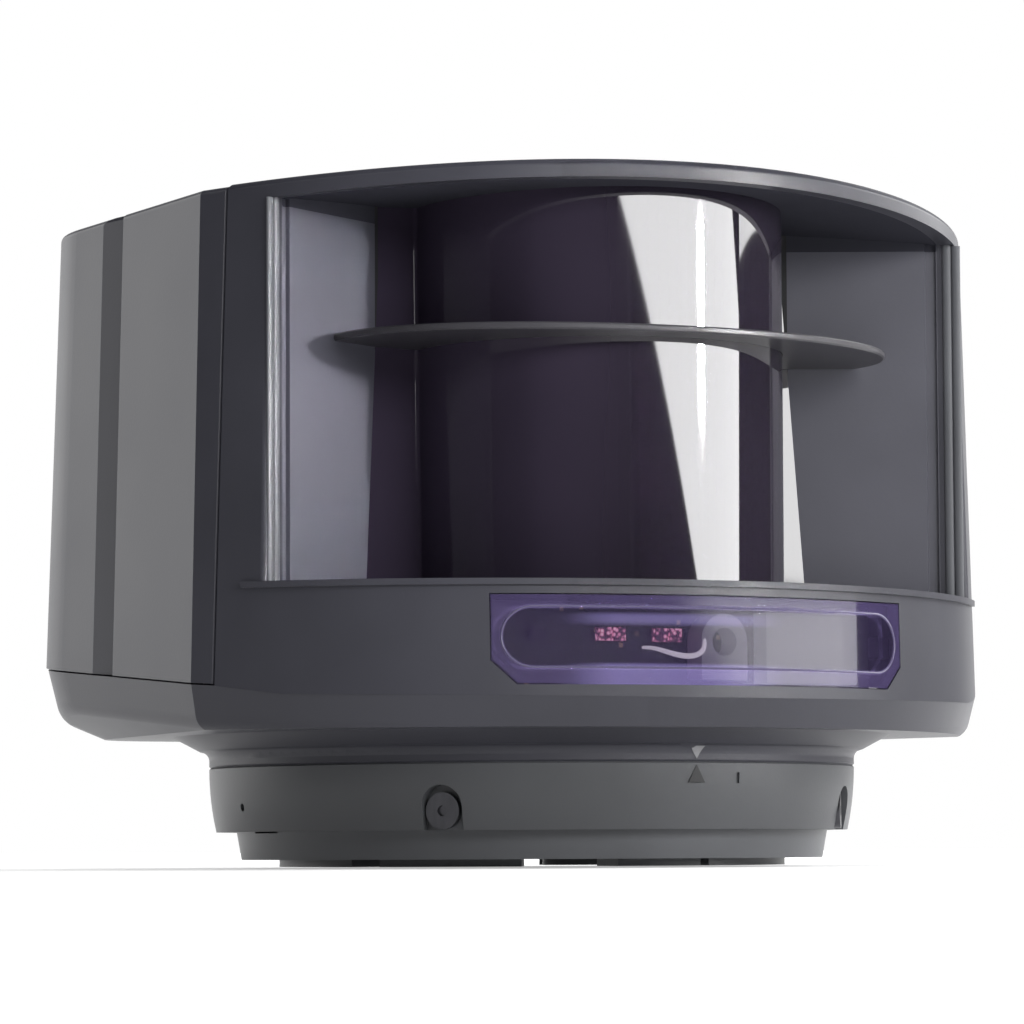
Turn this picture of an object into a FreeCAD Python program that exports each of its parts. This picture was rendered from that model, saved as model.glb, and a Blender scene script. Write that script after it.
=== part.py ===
import FreeCAD, Part
import math
import os

from FreeCAD import Vector

# Laser presence sensor on a tilting bracket, in millimetres.
# Origin: centre of the bracket's mounting face. +Z runs up the bracket's axis, the laser
# window looks towards -Y, and X is the width. Angles are measured from the front (-Y)
# and grow towards +X.

# Heights, stacked upwards from the mounting face
FOOT_HEIGHT = 0.9
BASE_RING_HEIGHT = 3.4
SKIRT_GAP = 0.1
RING_HEIGHT = 8.1
COLLAR_HEIGHT = 2.1
DISH_DEPTH = 1.8
CREASE_RISE = 3.5
BAND_HEIGHT = 13.1
LIP_THICKNESS = 0.75
OPENING_HEIGHT = 48.05
ROOF = 2.2

# Plan of the head, at the level of its top
FRONT_ARC_RADIUS = 65.2
FRONT_ARC_Y = 18.0
HEAD_HALF_WIDTH = 54.5
REAR_REACH = 44.8
REAR_CORNER_RADIUS = 25.0
DRAFT_DEG = 1.4
CROWN_RADIUS = 520.0
TOP_EDGE_FILLET = 0.8
WALL = 2.2
CREASE_FRONT_TILT_DEG = 1.4
CREASE_RAMP_LENGTH = 7.1
CREASE_RAMP_RISE = 1.15
CREASE_TILT_DEG = 4.2
BOWL_WALL = 5.2
BOWL_LEAN_DEG = 12.0
BELLY_DEPTH = 9.0
BELLY_LEAN_DEG = 64.0
BOWL_FILLET = 2.5

# Bracket
BASE_INSET = 3.5
BASE_TAPER = 0.6
BASE_WALL = 2.0
BASE_FLOOR = 2.1
CABLE_OPENING_RADIUS = 14.0
FOOT_INSET = 5.4
FOOT_WIDTH = 7.5
FOOT_GAPS_DEG = ((-72.0, -64.0), (-31.0, -10.0), (11.0, 13.4))
MOUNT_HOLE_RADIUS = 2.2
MOUNT_PAD_RADIUS = 4.2
MOUNT_CIRCLE_RADIUS = 20.0
MOUNT_HOLES = 4
RING_RADIUS = 41.1
RING_FOOT_INSET = 0.9
RING_EDGE = 0.2
SKIRT_CLEARANCE = 0.8
FLANGE_THICKNESS = 2.0
TILT_AXIS_RISE = 3.0
TILT_DOWN_DEG = 5.0
TILT_ROOM = 0.4
PIN_RADIUS = 1.5
PIN_LENGTH = 6.2
PIN_SKIN = 1.7
EAR_RADIUS = 2.5
EAR_THICKNESS = 2.4
BOSS_RADIUS = 2.8
BOSS_GAP = 0.4
WITNESS_HOLE_RADIUS = 0.5
PRESS_CLEARANCE = 0.01
RUN_CLEARANCE = 0.05
SPIGOT_INSET = 11.15
SPIGOT_WALL = 4.0
TAB_REACH = 3.0
TAB_THICKNESS = 1.8
TAB_GAP = 0.1
TAB_HALF_DEG = 14.0
TAB_ANGLES_DEG = (60.0, 180.0, 300.0)
TAB_ENTRY_TURN_DEG = 45.0
TAB_ENTRY_ROOM_DEG = 1.5
COLLAR_FILLET = 1.2
DISH_WIDTH = 3.4

# Lock screws in their arch-shaped pockets
LOCK_ANGLE_DEG = 54.0
LOCK_OFFSET = 7.0
LOCK_POCKET_DEPTH = 2.1
LOCK_POCKET_WIDTH = 4.9
LOCK_ARCH_RISE = 2.95
LOCK_HEAD_RADIUS = 2.2
LOCK_HEAD_HEIGHT = 0.85
LOCK_HEAD_RISE = 2.3
LOCK_SHANK_RADIUS = 1.3
LOCK_TIP_GAP = 0.4
LOCK_SOCKET_RADIUS = 0.65

# Index marks of the bayonet
MARK_SIZE = 1.3
MARK_DEPTH = 0.35
BAR_ANGLE_DEG = 8.5
BAR_WIDTH = 0.5

# Laser recess and window
WINDOW_RADIUS = 29.35
WINDOW_CENTRE_Y = -11.65
WINDOW_HALF_WIDTH = 29.2
WINDOW_THICKNESS = 2.0
WINDOW_OVERLAP = 1.6
SEAL_THICKNESS = 0.6
POST_WIDTH = 5.0
RECESS_WALL = 1.8
POST_EDGE_FILLET = 0.8
STEP_DEPTH = 0.5
STEP_WIDTH = 1.4
STEP_FROM_EDGE = 2.3
SILL_PLATE = 1.8
TONGUE_OVERHANG = 15.8
TONGUE_MARGIN = 1.6
LIP_PROUD = 0.55
LIP_HALF_DEG = 51.2
FIN_HALF_WIDTH = 37.4
FIN_REACH = 24.5
FIN_SHOULDER_Y = -21.0
FIN_THICKNESS = 0.85
FIN_SHARE = 0.6206
FIN_GAP = 0.05

# Seam between the front housing and the rear cover
SEAM_FORWARD = 3.0
SEAM_GAP = 0.3
COVER_STEP = 0.2
COVER_GAP = 0.2
GRIP_START_Y = 5.1
GRIP_LENGTH = 6.2
GRIP_DEPTH = 1.3

# Indicator window and what lies behind it
PANEL_HALF_WIDTH = 28.6
PANEL_SILL_RISE = 1.4
PANEL_HEIGHT = 10.7
PANEL_CHAMFER = 2.8
PANEL_CLEARANCE = 0.15
PANEL_RIM = 0.8
PANEL_RIM_THICKNESS = 0.8
PANEL_RIM_INSET = 1.4
LED_BOARD_INSET = 11.3
LED_BOARD_THICKNESS = 1.6
LED_BOARD_HALF_WIDTH = 27.0
LED_BOARD_HEIGHT = 10.4
LED_BOARD_RISE = 2.5
LED_POST_SIZE = 5.0
LED_POST_X = 20.0
LED_SIZE = 1.6
LED_HEIGHT = 1.1
LED_XS = (-20.0, -11.0, -9.0, -3.2, -1.2)
LED_RISE = 6.6
HOLDER_X = 4.2
HOLDER_WIDTH = 6.4
HOLDER_HEIGHT = 8.0
HOLDER_DEPTH = 3.4
HOLDER_BORE_RADIUS = 1.7
HOLDER_BORE_RISE = 4.6
GUIDE_X = 10.4
GUIDE_WIDTH = 13.0
GUIDE_HEIGHT = 8.6
GUIDE_DEPTH = 3.0

# Optics inside the head
FLOOR = 2.2
AXIS_Y = 6.0
FRAME_POST_HEIGHT = 7.4
FRAME_POST_RADIUS = 3.2
FRONT_POST_X = 20.0
FRONT_POST_MARGIN = 2.1
REAR_POST_X = 32.0
REAR_POST_Y = 23.0
FRAME_HALF_WIDTH = 38.0
FRAME_EDGE = 4.0
FRAME_PLATE = 2.5
FRAME_WALL_Y = 26.0
FRAME_WALL = 2.0
FRAME_WALL_HALF_WIDTH = 34.0
ARM_HALF_WIDTH = 6.0
ARM_THICKNESS = 2.5
ARM_ROOM = 2.4
SCREW_RADIUS = 1.45
SCREW_HEAD_RADIUS = 2.7
SCREW_HEAD_HEIGHT = 2.0
SCREW_DEPTH = 6.0
SCREW_SOCKET_RADIUS = 1.3
SCREW_SOCKET_DEPTH = 1.1
SHAFT_RADIUS = 1.5
BEARING_RADIUS = 3.5
BEARING_HEIGHT = 2.5
MOTOR_BOSS_RADIUS = 6.0
MOTOR_BOSS_HEIGHT = 6.0
STATOR_RADIUS = 12.5
STATOR_HEIGHT = 6.0
STATOR_TEETH = 9
STATOR_SLOT_WIDTH = 2.0
STATOR_SLOT_DEPTH = 4.0
ROTOR_GAP = 0.6
ROTOR_RADIUS = 13.2
ROTOR_THICKNESS = 2.0
ROTOR_HUB_RADIUS = 4.5
ROTOR_HUB_HEIGHT = 3.0
MIRROR_FLATS = 26.0
MIRROR_LEANS_DEG = (0.0, 1.0, 2.0, 3.0)
MIRROR_BORE_RADIUS = 6.0
MIRROR_END_PLATE = 2.0
MIRROR_ROOM = 1.0
LASER_RISE = 6.0
LASER_RADIUS = 5.0
LASER_LENGTH = 14.0
LASER_X = 24.0
PILLAR_X = 27.0
PILLAR_WIDTH = 10.0
LENS_SEAT_DEPTH = 1.5
COLLIMATOR_RADIUS = 4.0
RECEIVER_RADIUS = 11.0
RECEIVER_X = 25.0
RECEIVER_HOLDER = 5.5
RECEIVER_RIM = 2.0
RECEIVER_FALL = 17.0
RECEIVER_LENS_EDGE = 2.5
RECEIVER_LENS_BULGE = 1.8
BOARD_THICKNESS = 1.6
RECEIVER_BOARD_X = 36.0
DETECTOR_SIZE = 5.0
DETECTOR_HEIGHT = 1.5
MAIN_BOARD_STANDOFF = 1.5
STANDOFF_RADIUS = 2.5
MAIN_BOARD_HALF_WIDTH = 33.0
MAIN_BOARD_MARGIN = 2.0
SOCKET_WIDTH = 28.0
SOCKET_HEIGHT = 12.0
SOCKET_DEPTH = 9.5
SOCKET_WALL = 1.2
SOCKET_RISE = 6.0
SOCKET_PINS = 7
SOCKET_PIN_RADIUS = 0.5
SOCKET_PIN_LENGTH = 6.6

# Room that a cutter has beyond the face it cuts, how far joined features reach into each other,
# a length beyond the whole object, and how near counts as touching
CUT_MARGIN = 1.0
ROOT = 0.5
FAR = 200.0
TOUCH = 0.001

# Levels that follow from the stack of heights
BASE_TOP = FOOT_HEIGHT + BASE_RING_HEIGHT
RING_BOTTOM = BASE_TOP + SKIRT_GAP
RING_TOP = RING_BOTTOM + RING_HEIGHT
DISH_BOTTOM = RING_TOP + COLLAR_HEIGHT
BOWL_BOTTOM = DISH_BOTTOM + DISH_DEPTH
CREASE_Z = BOWL_BOTTOM + CREASE_RISE
LIP_Z = CREASE_Z + BAND_HEIGHT
SILL_TOP = LIP_Z + LIP_THICKNESS
CEILING = SILL_TOP + OPENING_HEIGHT
HEAD_TOP = CEILING + ROOF
TILT_AXIS_Z = RING_BOTTOM + TILT_AXIS_RISE
BASE_RADIUS = RING_RADIUS - BASE_INSET
FOOT_RADIUS = BASE_RADIUS - FOOT_INSET
SPIGOT_RADIUS = RING_RADIUS - SPIGOT_INSET
SPIGOT_INNER = SPIGOT_RADIUS - SPIGOT_WALL
SKIRT_INNER = BASE_RADIUS + SKIRT_CLEARANCE
FLANGE_BOTTOM = RING_TOP - FLANGE_THICKNESS
DOME_TOP = FLANGE_BOTTOM - SKIRT_INNER * math.sin(math.radians(TILT_DOWN_DEG)) - TILT_ROOM
FLOOR_TOP = BOWL_BOTTOM + FLOOR
PLATE_Z = FLOOR_TOP + FRAME_POST_HEIGHT
PLATE_TOP = PLATE_Z + FRAME_PLATE
ARM_TOP = CEILING - ARM_ROOM
ARM_Z = ARM_TOP - ARM_THICKNESS
SLOPE = math.tan(math.radians(DRAFT_DEG))
CREASE_SPREAD = (HEAD_TOP - CREASE_Z) * SLOPE
FRONT_Y = FRONT_ARC_Y - FRONT_ARC_RADIUS - CREASE_SPREAD
CORNER_Y = FRONT_ARC_Y - math.sqrt(FRONT_ARC_RADIUS ** 2 - HEAD_HALF_WIDTH ** 2)
SEAM_Y = CORNER_Y - SEAM_FORWARD
POST_EDGE_X = HEAD_HALF_WIDTH - POST_WIDTH
POST_EDGE_Y = FRONT_ARC_Y - math.sqrt((FRONT_ARC_RADIUS + CREASE_SPREAD / 2) ** 2 - POST_EDGE_X ** 2)
WINDOW_EDGE_Y = WINDOW_CENTRE_Y - math.sqrt(WINDOW_RADIUS ** 2 - WINDOW_HALF_WIDTH ** 2)
FIN_Z = SILL_TOP + FIN_SHARE * OPENING_HEIGHT
FRONT_POST_Y = -math.sqrt((SPIGOT_INNER + FRAME_POST_RADIUS + FRONT_POST_MARGIN) ** 2 - FRONT_POST_X ** 2)
FRAME_FRONT_Y = FRONT_POST_Y - FRAME_EDGE
LED_BOARD_Y = FRONT_Y + LED_BOARD_INSET
PIN_END = RING_RADIUS - PIN_SKIN
DOME_RADIUS = math.hypot(BASE_RADIUS, TILT_AXIS_Z - BASE_TOP)
LOCK_FLOOR = RING_RADIUS - LOCK_POCKET_DEPTH
LOCK_TIP = math.sqrt(DOME_RADIUS ** 2 - LOCK_OFFSET ** 2) + LOCK_TIP_GAP
WINDOW_HALF_ANGLE = math.asin(WINDOW_HALF_WIDTH / WINDOW_RADIUS) + WINDOW_OVERLAP / WINDOW_RADIUS
WINDOW_INNER = WINDOW_RADIUS - WINDOW_THICKNESS
TONGUE_Y = WINDOW_CENTRE_Y - WINDOW_INNER * math.cos(WINDOW_HALF_ANGLE) + TONGUE_MARGIN
TONGUE_HALF_WIDTH = WINDOW_HALF_WIDTH + TONGUE_OVERHANG


def box(x0, x1, y0, y1, z0, z1):
    """Axis-parallel block between two corners."""
    return Part.makeBox(x1 - x0, y1 - y0, z1 - z0, Vector(x0, y0, z0))


def upright(radius, z0, z1, x=0.0, y=0.0):
    """Vertical cylinder."""
    return Part.makeCylinder(radius, z1 - z0, Vector(x, y, z0))


def rod(radius, start, end):
    """Cylinder between two points."""
    axis = end.sub(start)
    return Part.makeCylinder(radius, axis.Length, start, axis)


def prism(points, z0, z1):
    """Vertical prism on a plan polygon."""
    corners = [Vector(x, y, z0) for x, y in points]
    outline = Part.makePolygon(corners + corners[:1])
    return Part.Face(outline).extrude(Vector(0, 0, z1 - z0))


def turned(edges):
    """Solid of revolution about the Z axis, from section edges drawn in the XZ plane."""
    face = Part.Face(Part.Wire(edges))
    return face.revolve(Vector(0, 0, 0), Vector(0, 0, 1), 360)


def section(*points):
    """Straight edges through (radius, height) points in the XZ plane."""
    corners = [Vector(r, 0, z) for r, z in points]
    return [Part.LineSegment(a, b).toShape() for a, b in zip(corners, corners[1:])]


def section_arc(start, middle, end):
    """Arc edge through three (radius, height) points in the XZ plane."""
    corners = [Vector(r, 0, z) for r, z in (start, middle, end)]
    return Part.Arc(*corners).toShape()


def polar(radius, angle_deg, y=0.0):
    """Plan point at an angle from the front, about a centre on the Y axis."""
    angle = math.radians(angle_deg)
    return radius * math.sin(angle), y - radius * math.cos(angle)


def wedge(start_deg, end_deg, radius, z0, z1, y=0.0):
    """Sector prism between two angles from the front, under 150 degrees wide."""
    reach = radius / math.cos(math.radians(end_deg - start_deg) / 2)
    middle = (start_deg + end_deg) / 2
    points = [(0.0, y)] + [polar(reach, angle, y) for angle in (start_deg, middle, end_deg)]
    return prism(points, z0, z1).common(upright(radius, z0, z1, 0, y))


def mirrored(shape):
    """The same shape on the other side of the YZ plane."""
    return shape.mirror(Vector(0, 0, 0), Vector(1, 0, 0))


def both_sides(shape):
    """A shape and its mirror image."""
    return [shape, mirrored(shape)]


def group(solids):
    """Separate solids that share one node."""
    return Part.makeCompound(solids)


def drafted(offset, slope, level, z0, z1):
    """Head form: a front cone and leaning side and rear planes with rounded rear corners.

    The plan grows by the offset, and by slope for each millimetre below the level.
    """
    low, high = (offset + (level - z) * slope for z in (z0, z1))
    half = HEAD_HALF_WIDTH
    rear = REAR_REACH
    block = Part.makeWedge(
        -half - low, z0, -rear - low, -rear - high, -half - high,
        half + low, z1, FAR, FAR, half + high
    )
    block.rotate(Vector(0, 0, 0), Vector(1, 0, 0), 90)
    corners = [
        edge for edge in block.Edges
        if edge.BoundBox.ZLength > (z1 - z0) / 2 and edge.BoundBox.YMax > 0
    ]
    block = block.makeFillet(REAR_CORNER_RADIUS + offset, corners)
    front = Part.makeCone(
        FRONT_ARC_RADIUS + low, FRONT_ARC_RADIUS + high, z1 - z0, Vector(0, FRONT_ARC_Y, z0)
    )
    return block.common(front)


def head_walls(offset):
    """Head form with its walls drafted, wider towards the base."""
    return drafted(offset, SLOPE, HEAD_TOP, CREASE_Z - DISH_DEPTH, HEAD_TOP + ROOF)


def crown(apex):
    """Everything under a roof that is arched across the width."""
    start = Vector(0, -FAR, apex - CROWN_RADIUS)
    return Part.makeCylinder(CROWN_RADIUS, 2 * FAR, start, Vector(0, 1, 0))


def tilted(shape):
    """Turn a shape drawn about the front end of the level crease into the rising crease plane."""
    shape.rotate(Vector(0, FRONT_Y, CREASE_Z), Vector(1, 0, 0), CREASE_TILT_DEG)
    return shape


def above_crease(gap):
    """Space above the crease: nearly level in front, a short ramp to the seam, then a steady rise."""
    front_rise = math.tan(math.radians(CREASE_FRONT_TILT_DEG))
    rear_rise = math.tan(math.radians(CREASE_TILT_DEG))
    ramp_y = SEAM_Y - CREASE_RAMP_LENGTH
    ramp_z = CREASE_Z + gap + (ramp_y - FRONT_Y) * front_rise
    seam_z = ramp_z + CREASE_RAMP_RISE
    points = [
        Vector(-FAR, -FAR, ramp_z - (FAR + ramp_y) * front_rise), Vector(-FAR, ramp_y, ramp_z),
        Vector(-FAR, SEAM_Y, seam_z), Vector(-FAR, FAR, seam_z + (FAR - SEAM_Y) * rear_rise),
        Vector(-FAR, FAR, FAR), Vector(-FAR, -FAR, FAR),
    ]
    return Part.Face(Part.makePolygon(points + points[:1])).extrude(Vector(2 * FAR, 0, 0))


def head_form(apex):
    """Outer form of the head under a roof of the given height."""
    body = head_walls(0.0).common(crown(apex))
    roof = max(body.Faces, key=lambda face: face.CenterOfMass.z)
    return body.makeFillet(TOP_EDGE_FILLET, roof.OuterWire.Edges)


def head_room():
    """Hollow inside the head's walls and roof."""
    return head_walls(-WALL).common(crown(CEILING))


def recess_outline(widen):
    """Plan of the laser opening: window edge to window edge, flaring out to the front."""
    angle = math.atan2(POST_EDGE_X - WINDOW_HALF_WIDTH, WINDOW_EDGE_Y - POST_EDGE_Y)
    near_x = WINDOW_HALF_WIDTH + widen * math.cos(angle)
    near_y = WINDOW_EDGE_Y + widen * math.sin(angle)
    far_x = near_x + FAR * math.sin(angle)
    far_y = near_y - FAR * math.cos(angle)
    return [(-near_x, near_y), (near_x, near_y), (far_x, far_y), (-far_x, far_y)]


def recess_room(widen, z0):
    """Space in front of the laser window, up to the arched ceiling."""
    space = prism(recess_outline(widen), z0, HEAD_TOP + ROOF).common(crown(CEILING))
    return space.cut(upright(WINDOW_RADIUS + SEAL_THICKNESS, 0, FAR, 0, WINDOW_CENTRE_Y))


def ring_sector(centre_y, outer, inner, half_deg, z0, z1):
    """Upright curved plate about an upright line on the middle plane."""
    plate = upright(outer, z0, z1, 0, centre_y).cut(upright(inner, z0, z1, 0, centre_y))
    return plate.common(wedge(-half_deg, half_deg, outer + CUT_MARGIN, z0, z1, centre_y))


def panel_outline(inset):
    """Front-view outline of the indicator window, with its lower corners cut off."""
    half = PANEL_HALF_WIDTH - inset
    low = CREASE_Z + PANEL_SILL_RISE + inset
    high = CREASE_Z + PANEL_SILL_RISE + PANEL_HEIGHT - inset
    cut = PANEL_CHAMFER
    right = [(half - cut, low), (half, low + cut), (half, high)]
    return right + [(-x, z) for x, z in reversed(right)]


def front_prism(points, y0, y1):
    """Prism along Y on a front-view polygon of (x, z) points."""
    corners = [Vector(x, y0, z) for x, z in points]
    return Part.Face(Part.makePolygon(corners + corners[:1])).extrude(Vector(0, y1 - y0, 0))


def pin_rod(radius, x0, x1):
    """Round length on the tilt axis."""
    return rod(radius, Vector(x0, 0, TILT_AXIS_Z), Vector(x1, 0, TILT_AXIS_Z))


def base_plate():
    """Fixed lower ring with floor, foot segments, pivot ears and mounting holes."""
    def dome_radius(z):
        return math.sqrt(DOME_RADIUS ** 2 - (z - TILT_AXIS_Z) ** 2)

    floor_top = FOOT_HEIGHT + BASE_FLOOR
    inner = BASE_RADIUS - BASE_WALL
    middle = (BASE_TOP + DOME_TOP) / 2
    edges = section(
        (dome_radius(DOME_TOP), DOME_TOP), (inner, DOME_TOP), (inner, floor_top),
        (CABLE_OPENING_RADIUS, floor_top), (CABLE_OPENING_RADIUS, FOOT_HEIGHT),
        (BASE_RADIUS - BASE_TAPER, FOOT_HEIGHT), (BASE_RADIUS, BASE_TOP),
    )
    edges.append(section_arc(
        (BASE_RADIUS, BASE_TOP), (dome_radius(middle), middle), (dome_radius(DOME_TOP), DOME_TOP)
    ))
    plate = turned(edges)
    foot = upright(FOOT_RADIUS, 0, FOOT_HEIGHT).cut(upright(FOOT_RADIUS - FOOT_WIDTH, 0, FOOT_HEIGHT))
    for start, end in FOOT_GAPS_DEG:
        for turn in (0, 180):
            gap = wedge(start + turn, end + turn, FOOT_RADIUS + CUT_MARGIN, 0, FOOT_HEIGHT)
            foot = foot.cut(gap)
    plate = plate.fuse(foot)
    for index in range(MOUNT_HOLES):
        x, y = polar(MOUNT_CIRCLE_RADIUS, 360 / MOUNT_HOLES * (index + 0.5))
        plate = plate.fuse(upright(MOUNT_PAD_RADIUS, 0, FOOT_HEIGHT + ROOT, x, y))
        plate = plate.cut(upright(MOUNT_HOLE_RADIUS, 0, floor_top, x, y))
    room = BOSS_RADIUS + BOSS_GAP
    notch = box(inner, FAR, -room, room, TILT_AXIS_Z - room, DOME_TOP + CUT_MARGIN)
    ear_x = inner - EAR_THICKNESS
    ear = box(ear_x, inner, -EAR_RADIUS, EAR_RADIUS, FOOT_HEIGHT, TILT_AXIS_Z)
    ear = ear.fuse(pin_rod(EAR_RADIUS, ear_x, inner))
    bore = pin_rod(PIN_RADIUS + PRESS_CLEARANCE, ear_x - CUT_MARGIN, inner + CUT_MARGIN)
    for side_notch, side_ear, side_bore in zip(both_sides(notch), both_sides(ear), both_sides(bore)):
        plate = plate.cut(side_notch).fuse(side_ear).cut(side_bore)
    return plate.removeSplitter()


def tilt_pins():
    """Pins pressed into the base's ears, which the ring tilts on."""
    return group(both_sides(pin_rod(PIN_RADIUS, PIN_END - PIN_LENGTH, PIN_END)))


def lock_axis():
    """Directions of a lock screw: outwards along its axis, and across it."""
    x, y = polar(1.0, LOCK_ANGLE_DEG)
    return Vector(x, y, 0), Vector(y, -x, 0)


def lock_point(along, across, z):
    """Point in a lock screw's own frame."""
    out, side = lock_axis()
    return out * along + side * across + Vector(0, 0, z)


def lock_pocket():
    """Arch-shaped pocket cut flat into the barrel, open at the skirt's lower edge."""
    half = LOCK_POCKET_WIDTH / 2
    arch_z = RING_BOTTOM + LOCK_ARCH_RISE
    low = RING_BOTTOM - CUT_MARGIN
    corners = [
        lock_point(LOCK_FLOOR, LOCK_OFFSET + shift, z)
        for shift, z in ((-half, low), (half, low), (half, arch_z), (-half, arch_z))
    ]
    out, _ = lock_axis()
    depth = out * (LOCK_POCKET_DEPTH + CUT_MARGIN)
    slot = Part.Face(Part.makePolygon(corners + corners[:1])).extrude(depth)
    centre = lock_point(LOCK_FLOOR, LOCK_OFFSET, arch_z)
    return slot.fuse(rod(half, centre, centre + depth))


def lock_rod(radius, start, end):
    """Round length on a lock screw's axis."""
    z = RING_BOTTOM + LOCK_HEAD_RISE
    return rod(radius, lock_point(start, LOCK_OFFSET, z), lock_point(end, LOCK_OFFSET, z))


def lock_screws():
    """Two screws that clamp the ring on the base's dome."""
    head = lock_rod(LOCK_HEAD_RADIUS, LOCK_FLOOR, LOCK_FLOOR + LOCK_HEAD_HEIGHT)
    screw = head.fuse(lock_rod(LOCK_SHANK_RADIUS, LOCK_TIP, LOCK_FLOOR))
    slot_top = LOCK_FLOOR + LOCK_HEAD_HEIGHT
    socket = lock_rod(LOCK_SOCKET_RADIUS, slot_top - LOCK_HEAD_HEIGHT / 2, slot_top)
    return group(both_sides(screw.cut(socket)))


def triangle_mark(z, height):
    """Small triangle cut into the front of a round wall, pointing along its height."""
    half = MARK_SIZE / 2
    points = [(-half, z), (half, z), (0.0, z + height)]
    return front_prism(points, -RING_RADIUS - CUT_MARGIN, -RING_RADIUS + MARK_DEPTH)


def tilt_ring():
    """Barrel-shaped ring with the bayonet flange, the pivot bosses and the lock pockets."""
    bore = SPIGOT_RADIUS + RUN_CLEARANCE
    foot_radius = RING_RADIUS - RING_FOOT_INSET
    middle = (RING_RADIUS - RING_FOOT_INSET / 4, RING_BOTTOM + RING_HEIGHT / 2)
    edges = section(
        (RING_RADIUS, RING_TOP - RING_EDGE), (RING_RADIUS - RING_EDGE, RING_TOP), (bore, RING_TOP),
        (bore, FLANGE_BOTTOM), (SKIRT_INNER, FLANGE_BOTTOM), (SKIRT_INNER, RING_BOTTOM),
        (foot_radius, RING_BOTTOM),
    )
    edges.append(section_arc((foot_radius, RING_BOTTOM), middle, (RING_RADIUS, RING_TOP - RING_EDGE)))
    ring = turned(edges)
    entry = TAB_HALF_DEG + TAB_ENTRY_ROOM_DEG
    reach = SPIGOT_RADIUS + TAB_REACH + RUN_CLEARANCE
    for angle in TAB_ANGLES_DEG:
        turn = angle + TAB_ENTRY_TURN_DEG
        ring = ring.cut(wedge(turn - entry, turn + entry, reach, FLANGE_BOTTOM, RING_TOP))
    inner = BASE_RADIUS - BASE_WALL
    boss_x = inner + BOSS_GAP
    boss = pin_rod(BOSS_RADIUS, boss_x, SKIRT_INNER + ROOT)
    hole = pin_rod(PIN_RADIUS + RUN_CLEARANCE, boss_x - CUT_MARGIN, PIN_END + RUN_CLEARANCE)
    witness = pin_rod(WITNESS_HOLE_RADIUS, PIN_END, RING_RADIUS + CUT_MARGIN)
    screw_hole = lock_rod(
        LOCK_SHANK_RADIUS + PRESS_CLEARANCE, LOCK_TIP - CUT_MARGIN, LOCK_FLOOR + CUT_MARGIN
    )
    for part in both_sides(boss):
        ring = ring.fuse(part)
    for part in (hole, witness, lock_pocket(), screw_hole):
        for cutter in both_sides(part):
            ring = ring.cut(cutter)
    ring = ring.cut(triangle_mark(RING_TOP - 2 * MARK_SIZE, MARK_SIZE))
    half = BAR_WIDTH / 2
    bar = box(
        -half, half, -RING_RADIUS - CUT_MARGIN, -RING_RADIUS + MARK_DEPTH,
        RING_TOP - 2 * MARK_SIZE, RING_TOP - MARK_SIZE
    )
    bar.rotate(Vector(0, 0, 0), Vector(0, 0, 1), BAR_ANGLE_DEG)
    return ring.cut(bar).removeSplitter()


def bowl_form(offset, bottom, fillet):
    """Bowl under the crease: a leaning wall, a belly that slopes inwards, and a level bottom."""
    lean = math.tan(math.radians(BOWL_LEAN_DEG))
    belly = math.radians(BELLY_LEAN_DEG)
    belly_top = CREASE_Z - BOWL_WALL
    belly_spread = CREASE_SPREAD - BOWL_WALL * lean + offset / math.cos(belly)
    low = belly_top - BELLY_DEPTH
    high = CREASE_Z + CREASE_RAMP_RISE
    form = drafted(offset + CREASE_SPREAD, -lean, CREASE_Z, low, high)
    form = form.common(drafted(belly_spread, -math.tan(belly), belly_top, low, high))
    if fillet:
        chine = [edge for edge in form.Edges if abs(edge.BoundBox.ZMax - belly_top) < TOUCH
                 and edge.BoundBox.ZLength < TOUCH]
        form = form.makeFillet(fillet, chine)
    return tilted(form).common(box(-FAR, FAR, -FAR, FAR, bottom, FAR))


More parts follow.
